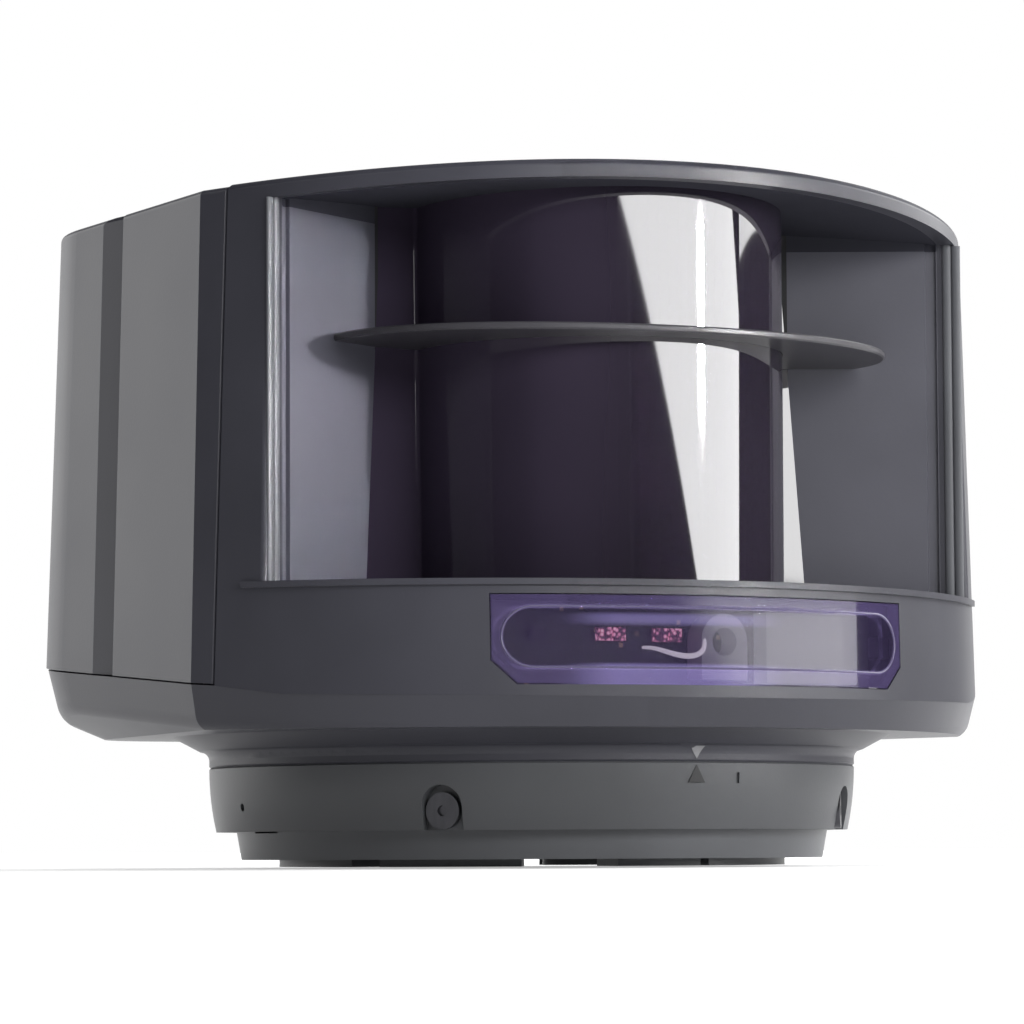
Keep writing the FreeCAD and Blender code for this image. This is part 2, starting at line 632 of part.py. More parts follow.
def lower_housing():
    """Bowl, collar and bayonet spigot in one moulding, with the posts for what stands in it."""
    bowl = bowl_form(0.0, BOWL_BOTTOM, BOWL_FILLET)
    spigot_bottom = FLANGE_BOTTOM - TAB_GAP - TAB_THICKNESS
    dish_radius = RING_RADIUS + COLLAR_FILLET
    turn = COLLAR_FILLET * (1 - math.sqrt(0.5))
    edges = section(
        (dish_radius, DISH_BOTTOM), (dish_radius + DISH_WIDTH, BOWL_BOTTOM),
        (dish_radius + DISH_WIDTH, FLOOR_TOP), (SPIGOT_INNER, FLOOR_TOP), (SPIGOT_INNER, spigot_bottom),
        (SPIGOT_RADIUS, spigot_bottom), (SPIGOT_RADIUS, RING_TOP), (RING_RADIUS - RING_EDGE, RING_TOP),
        (RING_RADIUS, RING_TOP + RING_EDGE), (RING_RADIUS, DISH_BOTTOM - COLLAR_FILLET),
    )
    edges.append(section_arc(
        (RING_RADIUS, DISH_BOTTOM - COLLAR_FILLET), (RING_RADIUS + turn, DISH_BOTTOM - turn),
        (dish_radius, DISH_BOTTOM)
    ))
    housing = bowl.cut(bowl_form(-WALL, FLOOR_TOP, 0.0)).cut(above_crease(0.0))
    housing = housing.cut(upright(SPIGOT_INNER, 0, FLOOR_TOP))
    housing = housing.fuse(turned(edges))
    tab_top = FLANGE_BOTTOM - TAB_GAP
    reach = SPIGOT_RADIUS + TAB_REACH
    for angle in TAB_ANGLES_DEG:
        tab = wedge(angle - TAB_HALF_DEG, angle + TAB_HALF_DEG, reach, spigot_bottom, tab_top)
        housing = housing.fuse(tab.cut(upright(SPIGOT_RADIUS - ROOT, 0, FAR)))
    for x, y in frame_post_places():
        post = upright(FRAME_POST_RADIUS, FLOOR_TOP - ROOT, PLATE_Z, x, y)
        bore_bottom = PLATE_TOP - SCREW_DEPTH - CUT_MARGIN
        bore = upright(SCREW_RADIUS + PRESS_CLEARANCE, bore_bottom, PLATE_TOP, x, y)
        housing = housing.fuse(post).cut(bore)
    half = LED_POST_SIZE / 2
    middle_y = LED_BOARD_Y + LED_BOARD_THICKNESS / 2
    for x in (-LED_POST_X, LED_POST_X):
        post = box(
            x - half, x + half, middle_y - half, middle_y + half,
            FLOOR_TOP - ROOT, FLOOR_TOP + LED_BOARD_RISE
        )
        housing = housing.fuse(post)
    mark = triangle_mark(DISH_BOTTOM - COLLAR_FILLET + MARK_SIZE / 2, -MARK_SIZE)
    return housing.cut(mark).removeSplitter()


def frame_post_places():
    """Plan positions of the posts under the optics frame."""
    posts = ((FRONT_POST_X, FRONT_POST_Y), (REAR_POST_X, REAR_POST_Y))
    return [(side * x, y) for x, y in posts for side in (-1, 1)]


def front_housing():
    """Curved front shell with roof, posts, flaring recess, sill plate and sill lip."""
    seam = SEAM_Y - SEAM_GAP / 2
    front = box(-FAR, FAR, -FAR, seam, 0, FAR)
    tongue = box(-TONGUE_HALF_WIDTH, TONGUE_HALF_WIDTH, seam - ROOT, TONGUE_Y, 0, FAR)
    outer = head_form(HEAD_TOP)
    room = head_room()
    block = head_walls(0.0).common(front).cut(prism(recess_outline(0.0), SILL_TOP, FAR))
    posts = [edge for edge in block.Edges if is_post_edge(edge)]
    shell = block.makeFillet(POST_EDGE_FILLET, posts).cut(head_walls(-WALL))
    shell = shell.common(outer).common(above_crease(0.0))
    region = front.fuse(tongue)
    roof = outer.cut(crown(CEILING)).common(region)
    inside = room.common(region)
    sill = inside.common(box(-FAR, FAR, -FAR, FAR, SILL_TOP - SILL_PLATE, SILL_TOP))
    walls = prism(recess_outline(RECESS_WALL), SILL_TOP - SILL_PLATE, HEAD_TOP).common(inside)
    walls = walls.cut(prism(recess_outline(0.0), 0, FAR))
    walls = walls.cut(upright(WINDOW_RADIUS + SEAL_THICKNESS, SILL_TOP, FAR, 0, WINDOW_CENTRE_Y))
    step = recess_room(STEP_DEPTH, SILL_TOP).cut(recess_room(-CUT_MARGIN, SILL_TOP))
    band = FRONT_ARC_RADIUS - STEP_FROM_EDGE
    step = step.common(upright(band, 0, FAR, 0, FRONT_ARC_Y))
    step = step.cut(upright(band - STEP_WIDTH, 0, FAR, 0, FRONT_ARC_Y))
    lip_outer = FRONT_ARC_RADIUS + (HEAD_TOP - LIP_Z) * SLOPE + LIP_PROUD
    lip = ring_sector(FRONT_ARC_Y, lip_outer, FRONT_ARC_RADIUS - WALL / 2, LIP_HALF_DEG, LIP_Z, SILL_TOP)
    housing = shell.fuse([roof, sill, walls, lip]).cut(step)
    panel_hole = front_prism(panel_outline(0.0), -FAR, LED_BOARD_Y).cut(head_walls(-WALL))
    return housing.cut(panel_hole).removeSplitter()


def is_post_edge(edge):
    """True for the upright outer edges of the laser opening."""
    tall = edge.BoundBox.ZLength > OPENING_HEIGHT / 2
    middle = edge.valueAt((edge.FirstParameter + edge.LastParameter) / 2)
    reach = math.hypot(middle.x, middle.y - FRONT_ARC_Y)
    inside_opening = abs(middle.x) < HEAD_HALF_WIDTH - WALL and middle.y < SEAM_Y - WALL
    return tall and inside_opening and reach > FRONT_ARC_RADIUS


def rear_cover():
    """Hood over the rear, pulled off backwards, with a finger groove at each side."""
    seam = SEAM_Y + SEAM_GAP / 2
    hood = head_form(HEAD_TOP - COVER_STEP).cut(head_room())
    hood = hood.cut(box(-FAR, FAR, -FAR, seam, 0, FAR)).common(above_crease(COVER_GAP))
    reach = TONGUE_HALF_WIDTH + SEAM_GAP
    hood = hood.cut(box(-reach, reach, seam - CUT_MARGIN, TONGUE_Y + SEAM_GAP, CEILING / 2, FAR))
    for cutter in both_sides(grip_cutter(HEAD_HALF_WIDTH, HEAD_HALF_WIDTH + CREASE_SPREAD)):
        hood = hood.cut(cutter)
    return hood.removeSplitter()


def grip_cutter(top_half, foot_half):
    """Wedge-shaped upright groove that follows the draft of the side wall."""
    def profile(half, z):
        points = [
            Vector(half - GRIP_DEPTH, GRIP_START_Y, z), Vector(half, GRIP_START_Y + GRIP_LENGTH, z),
            Vector(half + CUT_MARGIN, GRIP_START_Y + GRIP_LENGTH, z),
            Vector(half + CUT_MARGIN, GRIP_START_Y, z),
        ]
        return Part.makePolygon(points + points[:1])

    return Part.makeLoft([profile(foot_half, CREASE_Z), profile(top_half, HEAD_TOP)], True, True)


def laser_window():
    """Curved window at the back of the recess, standing on the sill plate."""
    half = math.degrees(WINDOW_HALF_ANGLE)
    plate = ring_sector(WINDOW_CENTRE_Y, WINDOW_RADIUS, WINDOW_INNER, half, SILL_TOP, HEAD_TOP)
    return plate.common(crown(CEILING))


def window_seal():
    """Seal strips between the window and the ends of the recess walls."""
    outer = WINDOW_RADIUS + SEAL_THICKNESS
    half = math.degrees(WINDOW_HALF_ANGLE)
    frame = ring_sector(WINDOW_CENTRE_Y, outer, WINDOW_RADIUS, half, SILL_TOP, HEAD_TOP)
    frame = frame.common(crown(CEILING))
    return frame.cut(prism(recess_outline(0.0), SILL_TOP, HEAD_TOP + ROOF))


def divider_fin():
    """Crescent plate between the sending and the receiving level of the window."""
    top = FIN_Z + FIN_THICKNESS
    rim = Part.Ellipse(Vector(0, FIN_SHOULDER_Y, FIN_Z), FIN_HALF_WIDTH, FIN_REACH).toShape()
    plate = Part.Face(Part.Wire(rim)).extrude(Vector(0, 0, FIN_THICKNESS))
    plate = plate.fuse(box(-FIN_HALF_WIDTH, FIN_HALF_WIDTH, FIN_SHOULDER_Y, WINDOW_EDGE_Y, FIN_Z, top))
    plate = plate.cut(upright(WINDOW_RADIUS + FIN_GAP, FIN_Z, top, 0, WINDOW_CENTRE_Y))
    return plate.common(prism(recess_outline(-FIN_GAP), FIN_Z, top))


def indicator_window():
    """Translucent panel, flush in the front band, held by a rim behind the wall."""
    inner = head_walls(-WALL)
    panel = front_prism(panel_outline(PANEL_CLEARANCE), -FAR, LED_BOARD_Y)
    panel = panel.common(head_walls(0.0)).cut(inner)
    rim = front_prism(panel_outline(-PANEL_RIM), -FAR, LED_BOARD_Y).common(inner)
    rim = rim.cut(head_walls(-WALL - PANEL_RIM_THICKNESS))
    rim = rim.cut(front_prism(panel_outline(PANEL_RIM_INSET), -FAR, LED_BOARD_Y))
    rim = rim.cut(box(-FAR, FAR, -FAR, FAR, SILL_TOP - SILL_PLATE, HEAD_TOP))
    return panel.fuse(rim).removeSplitter()


def led_board():
    """Board behind the indicator window, standing on two posts of the bowl."""
    low = FLOOR_TOP + LED_BOARD_RISE
    return box(
        -LED_BOARD_HALF_WIDTH, LED_BOARD_HALF_WIDTH, LED_BOARD_Y, LED_BOARD_Y + LED_BOARD_THICKNESS,
        low, low + LED_BOARD_HEIGHT
    )


def status_leds():
    """Lamps on the front of the board."""
    half = LED_SIZE / 2
    z = FLOOR_TOP + LED_BOARD_RISE + LED_RISE
    return group([
        box(x - half, x + half, LED_BOARD_Y - LED_HEIGHT, LED_BOARD_Y, z - half, z + half) for x in LED_XS
    ])


def aperture_holder():
    """Arch-shaped holder with a round bore, on the front of the board."""
    low = FLOOR_TOP + LED_BOARD_RISE + (LED_BOARD_HEIGHT - HOLDER_HEIGHT) / 2
    half = HOLDER_WIDTH / 2
    arch = low + HOLDER_HEIGHT - half
    front = LED_BOARD_Y - HOLDER_DEPTH
    body = box(HOLDER_X - half, HOLDER_X + half, front, LED_BOARD_Y, low, arch)
    body = body.fuse(rod(half, Vector(HOLDER_X, front, arch), Vector(HOLDER_X, LED_BOARD_Y, arch)))
    bore_z = low + HOLDER_BORE_RISE
    bore = rod(HOLDER_BORE_RADIUS, Vector(HOLDER_X, front, bore_z), Vector(HOLDER_X, LED_BOARD_Y, bore_z))
    return body.cut(bore).removeSplitter()


def light_guide():
    """Pale block beside the holder that spreads the lamps' light."""
    low = FLOOR_TOP + LED_BOARD_RISE + (LED_BOARD_HEIGHT - GUIDE_HEIGHT) / 2
    front = LED_BOARD_Y - GUIDE_DEPTH
    return box(GUIDE_X, GUIDE_X + GUIDE_WIDTH, front, LED_BOARD_Y, low, low + GUIDE_HEIGHT)


def laser_z():
    """Height of the sending beam, at the upper level of the window."""
    return FIN_Z + LASER_RISE


def receiver_z():
    """Height of the receiving lens, at the lower level of the window."""
    return FIN_Z - RECEIVER_FALL


def optic_rod(radius, x0, x1, z):
    """Round length along X through the mirror's axis."""
    return rod(radius, Vector(x0, AXIS_Y, z), Vector(x1, AXIS_Y, z))


def optics_frame():
    """Chassis of the scanner: plate, rear wall, bearing arm, laser pillar and lens holder."""
    wall_end = FRAME_WALL_Y + FRAME_WALL
    frame = box(-FRAME_HALF_WIDTH, FRAME_HALF_WIDTH, FRAME_FRONT_Y, wall_end, PLATE_Z, PLATE_TOP)
    wall = box(-FRAME_WALL_HALF_WIDTH, FRAME_WALL_HALF_WIDTH, FRAME_WALL_Y, wall_end, PLATE_Z, ARM_TOP)
    arm = box(-ARM_HALF_WIDTH, ARM_HALF_WIDTH, AXIS_Y, wall_end, ARM_Z, ARM_TOP)
    arm = arm.fuse(upright(ARM_HALF_WIDTH, ARM_Z, ARM_TOP, 0, AXIS_Y))
    motor_boss = upright(MOTOR_BOSS_RADIUS, PLATE_Z, PLATE_TOP + MOTOR_BOSS_HEIGHT, 0, AXIS_Y)
    half = PILLAR_WIDTH / 2
    beam = laser_z()
    pillar = box(
        PILLAR_X, PILLAR_X + PILLAR_WIDTH, AXIS_Y - half, AXIS_Y + half, PLATE_Z, beam - LASER_RADIUS / 2
    )
    holder_half = RECEIVER_RADIUS + RECEIVER_RIM
    holder = box(
        -RECEIVER_X - RECEIVER_HOLDER, -RECEIVER_X, AXIS_Y - holder_half, AXIS_Y + holder_half,
        PLATE_Z, receiver_z() + holder_half
    )
    frame = frame.fuse([wall, arm, motor_boss, pillar, holder])
    for x, z in standoff_places():
        frame = frame.fuse(rod(
            STANDOFF_RADIUS, Vector(x, FRAME_WALL_Y, z), Vector(x, wall_end + MAIN_BOARD_STANDOFF, z)
        ))
    frame = frame.cut(optic_rod(LASER_RADIUS + PRESS_CLEARANCE, LASER_X, FAR, beam))
    frame = frame.cut(optic_rod(
        RECEIVER_RADIUS + PRESS_CLEARANCE, -RECEIVER_X - RECEIVER_HOLDER - CUT_MARGIN,
        -RECEIVER_X + CUT_MARGIN, receiver_z()
    ))
    seat = BEARING_RADIUS + PRESS_CLEARANCE
    frame = frame.cut(upright(seat, PLATE_Z, PLATE_TOP + MOTOR_BOSS_HEIGHT, 0, AXIS_Y))
    frame = frame.cut(upright(seat, ARM_Z, ARM_TOP, 0, AXIS_Y))
    for x, y in frame_post_places():
        frame = frame.cut(upright(SCREW_RADIUS + PRESS_CLEARANCE, PLATE_Z, PLATE_TOP, x, y))
    return frame.removeSplitter()


def frame_screws():
    """Screws that hold the frame on the posts of the bowl."""
    screws = []
    for x, y in frame_post_places():
        head = upright(SCREW_HEAD_RADIUS, PLATE_TOP, PLATE_TOP + SCREW_HEAD_HEIGHT, x, y)
        shank = upright(SCREW_RADIUS, PLATE_TOP - SCREW_DEPTH, PLATE_TOP, x, y)
        top = PLATE_TOP + SCREW_HEAD_HEIGHT
        socket = upright(SCREW_SOCKET_RADIUS, top - SCREW_SOCKET_DEPTH, top, x, y)
        screws.append(head.fuse(shank).cut(socket).removeSplitter())
    return group(screws)


def shaft_bearings():
    """Two bearings of the mirror shaft, in the motor boss and in the arm."""
    bore = SHAFT_RADIUS + RUN_CLEARANCE
    boss_top = PLATE_TOP + MOTOR_BOSS_HEIGHT
    rings = []
    for top in (boss_top, ARM_Z + BEARING_HEIGHT):
        low = top - BEARING_HEIGHT
        rings.append(upright(BEARING_RADIUS, low, top, 0, AXIS_Y).cut(upright(bore, low, top, 0, AXIS_Y)))
    return group(rings)


def motor_stator():
    """Slotted iron ring around the motor boss."""
    top = PLATE_TOP + STATOR_HEIGHT
    ring = upright(STATOR_RADIUS, PLATE_TOP, top, 0, AXIS_Y)
    ring = ring.cut(upright(MOTOR_BOSS_RADIUS + PRESS_CLEARANCE, PLATE_TOP, top, 0, AXIS_Y))
    half = STATOR_SLOT_WIDTH / 2
    for index in range(STATOR_TEETH):
        slot_floor = -STATOR_RADIUS + STATOR_SLOT_DEPTH
        slot = box(-half, half, -STATOR_RADIUS - CUT_MARGIN, slot_floor, PLATE_TOP, top)
        slot.rotate(Vector(0, 0, 0), Vector(0, 0, 1), 360 / STATOR_TEETH * index)
        slot.translate(Vector(0, AXIS_Y, 0))
        ring = ring.cut(slot)
    return ring


def rotor_bottom():
    """Underside of the rotor disc, just above the stator and the motor boss."""
    return PLATE_TOP + max(STATOR_HEIGHT, MOTOR_BOSS_HEIGHT) + ROTOR_GAP


def motor_rotor():
    """Rotor disc with the hub that carries the mirror."""
    low = rotor_bottom()
    disc_top = low + ROTOR_THICKNESS
    disc = upright(ROTOR_RADIUS, low, disc_top, 0, AXIS_Y)
    hub = upright(ROTOR_HUB_RADIUS, disc_top, disc_top + ROTOR_HUB_HEIGHT, 0, AXIS_Y)
    bore = upright(SHAFT_RADIUS + PRESS_CLEARANCE, low, disc_top + ROTOR_HUB_HEIGHT, 0, AXIS_Y)
    return disc.fuse(hub).cut(bore).removeSplitter()


def mirror_shaft():
    """Shaft through both bearings, the rotor and the mirror."""
    low = PLATE_TOP + MOTOR_BOSS_HEIGHT - BEARING_HEIGHT
    return upright(SHAFT_RADIUS, low, ARM_Z + BEARING_HEIGHT, 0, AXIS_Y)


def scan_mirror():
    """Four-facet mirror drum, each facet leaning a little more than the one before."""
    low = rotor_bottom() + ROTOR_THICKNESS
    high = ARM_Z - MIRROR_ROOM
    half = MIRROR_FLATS / 2
    drum = box(-half, half, -half, half, low, high)
    for index, lean in enumerate(MIRROR_LEANS_DEG):
        cutter = box(-FAR, FAR, -FAR, -half, low - FAR, high + FAR)
        cutter.rotate(Vector(0, -half, low), Vector(1, 0, 0), -lean)
        cutter.rotate(Vector(0, 0, 0), Vector(0, 0, 1), 90 * index)
        drum = drum.cut(cutter)
    drum = drum.cut(upright(MIRROR_BORE_RADIUS, low + MIRROR_END_PLATE, high - MIRROR_END_PLATE))
    drum = drum.cut(upright(ROTOR_HUB_RADIUS + PRESS_CLEARANCE, low, low + MIRROR_END_PLATE))
    drum = drum.cut(upright(SHAFT_RADIUS + PRESS_CLEARANCE, low, high))
    drum.translate(Vector(0, AXIS_Y, 0))
    return drum.removeSplitter()


def laser_module():
    """Laser diode barrel lying in the pillar's saddle, with a seat for its lens."""
    beam = laser_z()
    barrel = optic_rod(LASER_RADIUS, LASER_X, LASER_X + LASER_LENGTH, beam)
    seat = optic_rod(COLLIMATOR_RADIUS + PRESS_CLEARANCE, LASER_X, LASER_X + LENS_SEAT_DEPTH, beam)
    return barrel.cut(seat)


def lens(radius, edge, bulge):
    """Plano-convex lens about the X axis, flat at x = 0 and bulging towards +X."""
    sphere = (radius ** 2 + bulge ** 2) / (2 * bulge)
    ball = Part.makeSphere(sphere, Vector(edge + bulge - sphere, 0, 0))
    return rod(radius, Vector(0, 0, 0), Vector(edge + bulge, 0, 0)).common(ball)


def collimator_lens():
    """Small lens in the front of the laser barrel."""
    glass = mirrored(lens(COLLIMATOR_RADIUS, LENS_SEAT_DEPTH / 2, LENS_SEAT_DEPTH / 2))
    glass.translate(Vector(LASER_X + LENS_SEAT_DEPTH, AXIS_Y, laser_z()))
    return glass


def receiver_lens():
    """Large lens that gathers the returning light, in the eye of the lens holder."""
    glass = lens(RECEIVER_RADIUS, RECEIVER_LENS_EDGE, RECEIVER_LENS_BULGE)
    glass.translate(Vector(-RECEIVER_X - RECEIVER_HOLDER / 2, AXIS_Y, receiver_z()))
    return glass


def receiver_board():
    """Board behind the receiving lens, standing on the frame's plate."""
    half = RECEIVER_RADIUS
    return box(
        -RECEIVER_BOARD_X - BOARD_THICKNESS, -RECEIVER_BOARD_X, AXIS_Y - half, AXIS_Y + half,
        PLATE_TOP, receiver_z() + half
    )


def photo_detector():
    """Light-sensitive chip on the receiver board, on the lens's axis."""
    half = DETECTOR_SIZE / 2
    return box(
        -RECEIVER_BOARD_X, -RECEIVER_BOARD_X + DETECTOR_HEIGHT, AXIS_Y - half, AXIS_Y + half,
        receiver_z() - half, receiver_z() + half
    )


def main_board_levels():
    """Lower and upper edge of the main board."""
    return PLATE_TOP + MAIN_BOARD_MARGIN, ARM_TOP - MAIN_BOARD_MARGIN


def standoff_places():
    """Positions of the main board's standoffs on the frame's rear wall."""
    low, high = main_board_levels()
    inset = 2 * STANDOFF_RADIUS
    return [
        (x, z) for x in (-MAIN_BOARD_HALF_WIDTH + inset, MAIN_BOARD_HALF_WIDTH - inset)
        for z in (low + inset, high - inset)
    ]


def main_board_y():
    """Front and rear face of the main board."""
    front = FRAME_WALL_Y + FRAME_WALL + MAIN_BOARD_STANDOFF
    return front, front + BOARD_THICKNESS


def main_board():
    """Processor board on the rear of the frame."""
    front, rear = main_board_y()
    low, high = main_board_levels()
    return box(-MAIN_BOARD_HALF_WIDTH, MAIN_BOARD_HALF_WIDTH, front, rear, low, high)


def connector_socket():
    """Main connector on the rear of the board, reached when the cover is off."""
    _, face = main_board_y()
    low = main_board_levels()[0] + SOCKET_RISE
    half = SOCKET_WIDTH / 2
    shell = box(-half, half, face, face + SOCKET_DEPTH, low, low + SOCKET_HEIGHT)
    hollow = box(
        -half + SOCKET_WALL, half - SOCKET_WALL, face + SOCKET_WALL, face + SOCKET_DEPTH,
        low + SOCKET_WALL, low + SOCKET_HEIGHT - SOCKET_WALL
    )
    socket = shell.cut(hollow)
    pitch = SOCKET_WIDTH / (SOCKET_PINS + 1)
    z = low + SOCKET_HEIGHT / 2
    for index in range(SOCKET_PINS):
        x = -half + pitch * (index + 1)
        pin_end = Vector(x, face + SOCKET_PIN_LENGTH, z)
        socket = socket.fuse(rod(SOCKET_PIN_RADIUS, Vector(x, face, z), pin_end))
    return socket.removeSplitter()


NODES = {
    "base_plate": base_plate,
    "tilt_pins": tilt_pins,
    "tilt_ring": tilt_ring,
    "lock_screws": lock_screws,
    "lower_housing": lower_housing,
    "front_housing": front_housing,
    "rear_cover": rear_cover,
    "laser_window": laser_window,
    "window_seal": window_seal,
    "divider_fin": divider_fin,
    "indicator_window": indicator_window,
    "led_board": led_board,
    "status_leds": status_leds,
    "aperture_holder": aperture_holder,
    "light_guide": light_guide,
    "optics_frame": optics_frame,
    "frame_screws": frame_screws,
    "shaft_bearings": shaft_bearings,
    "motor_stator": motor_stator,
    "motor_rotor": motor_rotor,
    "mirror_shaft": mirror_shaft,
    "scan_mirror": scan_mirror,
    "laser_module": laser_module,
    "collimator_lens": collimator_lens,
    "receiver_lens": receiver_lens,
    "receiver_board": receiver_board,
    "photo_detector": photo_detector,
    "main_board": main_board,
    "connector_socket": connector_socket,
}

os.makedirs("parts", exist_ok=True)
for name, make in NODES.items():
    make().exportStep(os.path.join("parts", name + ".step"))
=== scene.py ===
"""Looks of a laser presence sensor: finishes for its solids, small fitted pieces and a studio."""

import math

import bpy
import numpy as np
from mathutils import Matrix, Vector


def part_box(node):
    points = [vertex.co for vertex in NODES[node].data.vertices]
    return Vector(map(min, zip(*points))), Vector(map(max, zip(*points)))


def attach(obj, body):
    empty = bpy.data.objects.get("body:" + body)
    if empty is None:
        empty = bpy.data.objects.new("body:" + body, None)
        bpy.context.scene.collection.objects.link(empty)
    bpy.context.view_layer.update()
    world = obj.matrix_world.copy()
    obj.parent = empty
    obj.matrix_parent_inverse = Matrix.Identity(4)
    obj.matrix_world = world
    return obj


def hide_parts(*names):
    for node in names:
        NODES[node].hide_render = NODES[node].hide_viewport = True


bl_info = {
    "name": "Laser presence sensor",
    "version": (1, 0, 0),
    "blender": (4, 5, 0),
    "location": "View3D > Sidebar > Sensor",
    "description": "Finishes, small fitted pieces and a studio for a laser presence sensor",
    "category": "Object",
}

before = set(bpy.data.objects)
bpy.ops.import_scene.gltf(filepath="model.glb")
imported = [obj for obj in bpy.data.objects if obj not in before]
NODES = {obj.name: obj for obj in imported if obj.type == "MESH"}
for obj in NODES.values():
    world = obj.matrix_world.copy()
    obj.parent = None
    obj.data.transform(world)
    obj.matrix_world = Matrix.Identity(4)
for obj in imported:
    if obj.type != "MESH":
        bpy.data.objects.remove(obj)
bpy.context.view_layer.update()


MM = 0.001
WHITE = (1.0, 1.0, 1.0, 1.0)
SHARP_EDGE = math.radians(35.0)

# Plan of the head in metres, as in the solids: the front arc, the recess walls and the levels
ARC_Y = 18.0 * MM
ARC_TOP = 65.2 * MM
HEAD_TOP = 84.0 * MM
SLOPE = math.tan(math.radians(1.4))
POST_EDGE = np.array([49.5, -25.63]) * MM
WINDOW_EDGE = np.array([29.2, -14.61]) * MM
SILL_TOP = 33.75 * MM
CEILING = 81.8 * MM
CROWN = 520.0 * MM
COLLAR = 41.1 * MM

# Pitch of the ridges on a post, in ridge widths
RIDGE_PITCH = 1.05

# Window with its two flanges, and the fin that stands out from it
WINDOW_CENTRE = np.array([0.0, -16.8]) * MM
WINDOW_ROUND = 23.6 * MM
WINDOW_FILLET = 0.5 * MM
WINDOW_WALL = 1.2 * MM
FLANGE_END = np.array([-31.6, -15.3]) * MM
FLANGE_DRAFT = 0.6 * MM
FLANGE_TURN = math.radians(-7.5)
FIN_HALF = 37.4 * MM
FIN_REACH = 24.5 * MM
FIN_SHOULDER = -21.0 * MM
FIN_GAP = 0.05 * MM
FIN_CHAMFER = 0.2 * MM

# Points of the window's plan, which the fin's rows follow: flange, fillet and half round
FLANGE_STEPS = 3
FILLET_STEPS = 7
BOW_POINTS = 97

# Field of the indicator window, the painted glow on it, and the control points of the light pipe behind it
PANE_HALF = 27.4 * MM
PANE_ROUND = 3.6 * MM
PANE_Z = 26.9 * MM
GLOW_X = -6.0 * MM
GLOW_FADE = 6.0 * MM
GLOW_REACH = 2.4
GLOW_LEVEL = 0.35
DARK_LAMP_X = -15.0 * MM
PIPE_RADIUS = 0.34 * MM
PIPE_END = 0.55
PIPE_POINTS = np.array([[-5.2, -37.2, 26.2], [-5.2, -42.6, 26.2], [-3.2, -41.6, 24.6],
                        [1.4, -41.6, 23.9], [1.6, -41.4, 26.4], [1.4, -40.3, 27.8]]) * MM

# Index marks by half width, foot and tip. The wall flares above the collar by a round, and a mark stands
# a little proud of it
COLLAR_MARK = (0.95 * MM, 14.35 * MM, 12.85 * MM)
RING_MARK = (1.15 * MM, 9.95 * MM, 12.05 * MM)
FLARE_Z = 13.4 * MM
FLARE_RISE = 1.15 * MM
FLARE_ROUND = 1.2 * MM
MARK_PROUD = 0.06 * MM
MARK_DEPTH = 0.15 * MM

# Sheen of the satin plastic, and where finishes change: the roof loses its sheen, the recess walls get
# painted light and the recess ceiling painted shade, and the window's left end loses gloss and gets painted
# light
SATIN_SHEEN = 0.34
ROOF_EDGE = 0.6 * MM
ROOF_MATT = 0.94
RECESS_LIP = 2.2 * MM
RECESS_SILL = 0.1 * MM
CEILING_DROP = 3.0 * MM
CEILING_GAP = 0.5 * MM
CEILING_PAINTED_SHADE = -0.8
DULL_X = -8.0 * MM
DULL_RUN = 9.0 * MM
DULL_LOSS = 0.42
PLAIN_SPECULAR = 0.5

# Softboxes: name, azimuth and elevation in degrees, distance, width and height in metres, radiance, roll
SOFTBOXES = (
    ("front_softbox", 27.0, 11.1, 1.0, 1.69, 0.26, 6.2, -10.4),
    ("right_softbox", 92.0, 26.0, 1.0, 0.9, 0.6, 4.5, 0.0),
    ("left_softbox", -152.0, 18.0, 1.0, 0.9, 0.7, 0.75, 0.0),
    ("top_softbox", 20.0, 75.0, 1.1, 1.0, 0.8, 0.6, 0.0),
)
LAMP_AIM = (0.0, 0.0, 0.05)
RECESS_LAMP = ("recess_lamp", 40.0, 7.0, 0.7, 0.05, 0.05, 1.5, 0.0)
RECESS_AIM = (-0.039, -0.020, 0.058)
RECESS_SPREAD = math.radians(8.0)

# Stage in metres: level and rings of the floor, its own light near and far with the distances between
# which it fades, a painted shadow about the object, and the dark screen's radius, height and arc in degrees
FLOOR_Z = -0.2 * MM
FLOOR_RINGS = np.array([0.05, 0.3, 1.0, 4.0])
FLOOR_GLOW = (0.42, 0.85)
FLOOR_SHADOW_FADE = (0.06, 0.25)
SCREEN_RADIUS = 1.6
SCREEN_HEIGHT = 1.2
SCREEN_ARC = (-130.0, 118.0)


def arc_radius(z):
    """Radius of the head's front arc at a level: the top radius plus the draft below the top."""
    return ARC_TOP + (HEAD_TOP - z) * SLOPE


def on_front(x, z):
    """Points on the front arc, for arrays of widths x and levels z."""
    return np.stack([x, ARC_Y - np.sqrt(arc_radius(z) ** 2 - x ** 2), z], axis=-1)


def ceiling_at(x):
    """Level of the recess ceiling: the crown falls from its apex with the square of the width."""
    return CEILING - x ** 2 / (2.0 * CROWN)


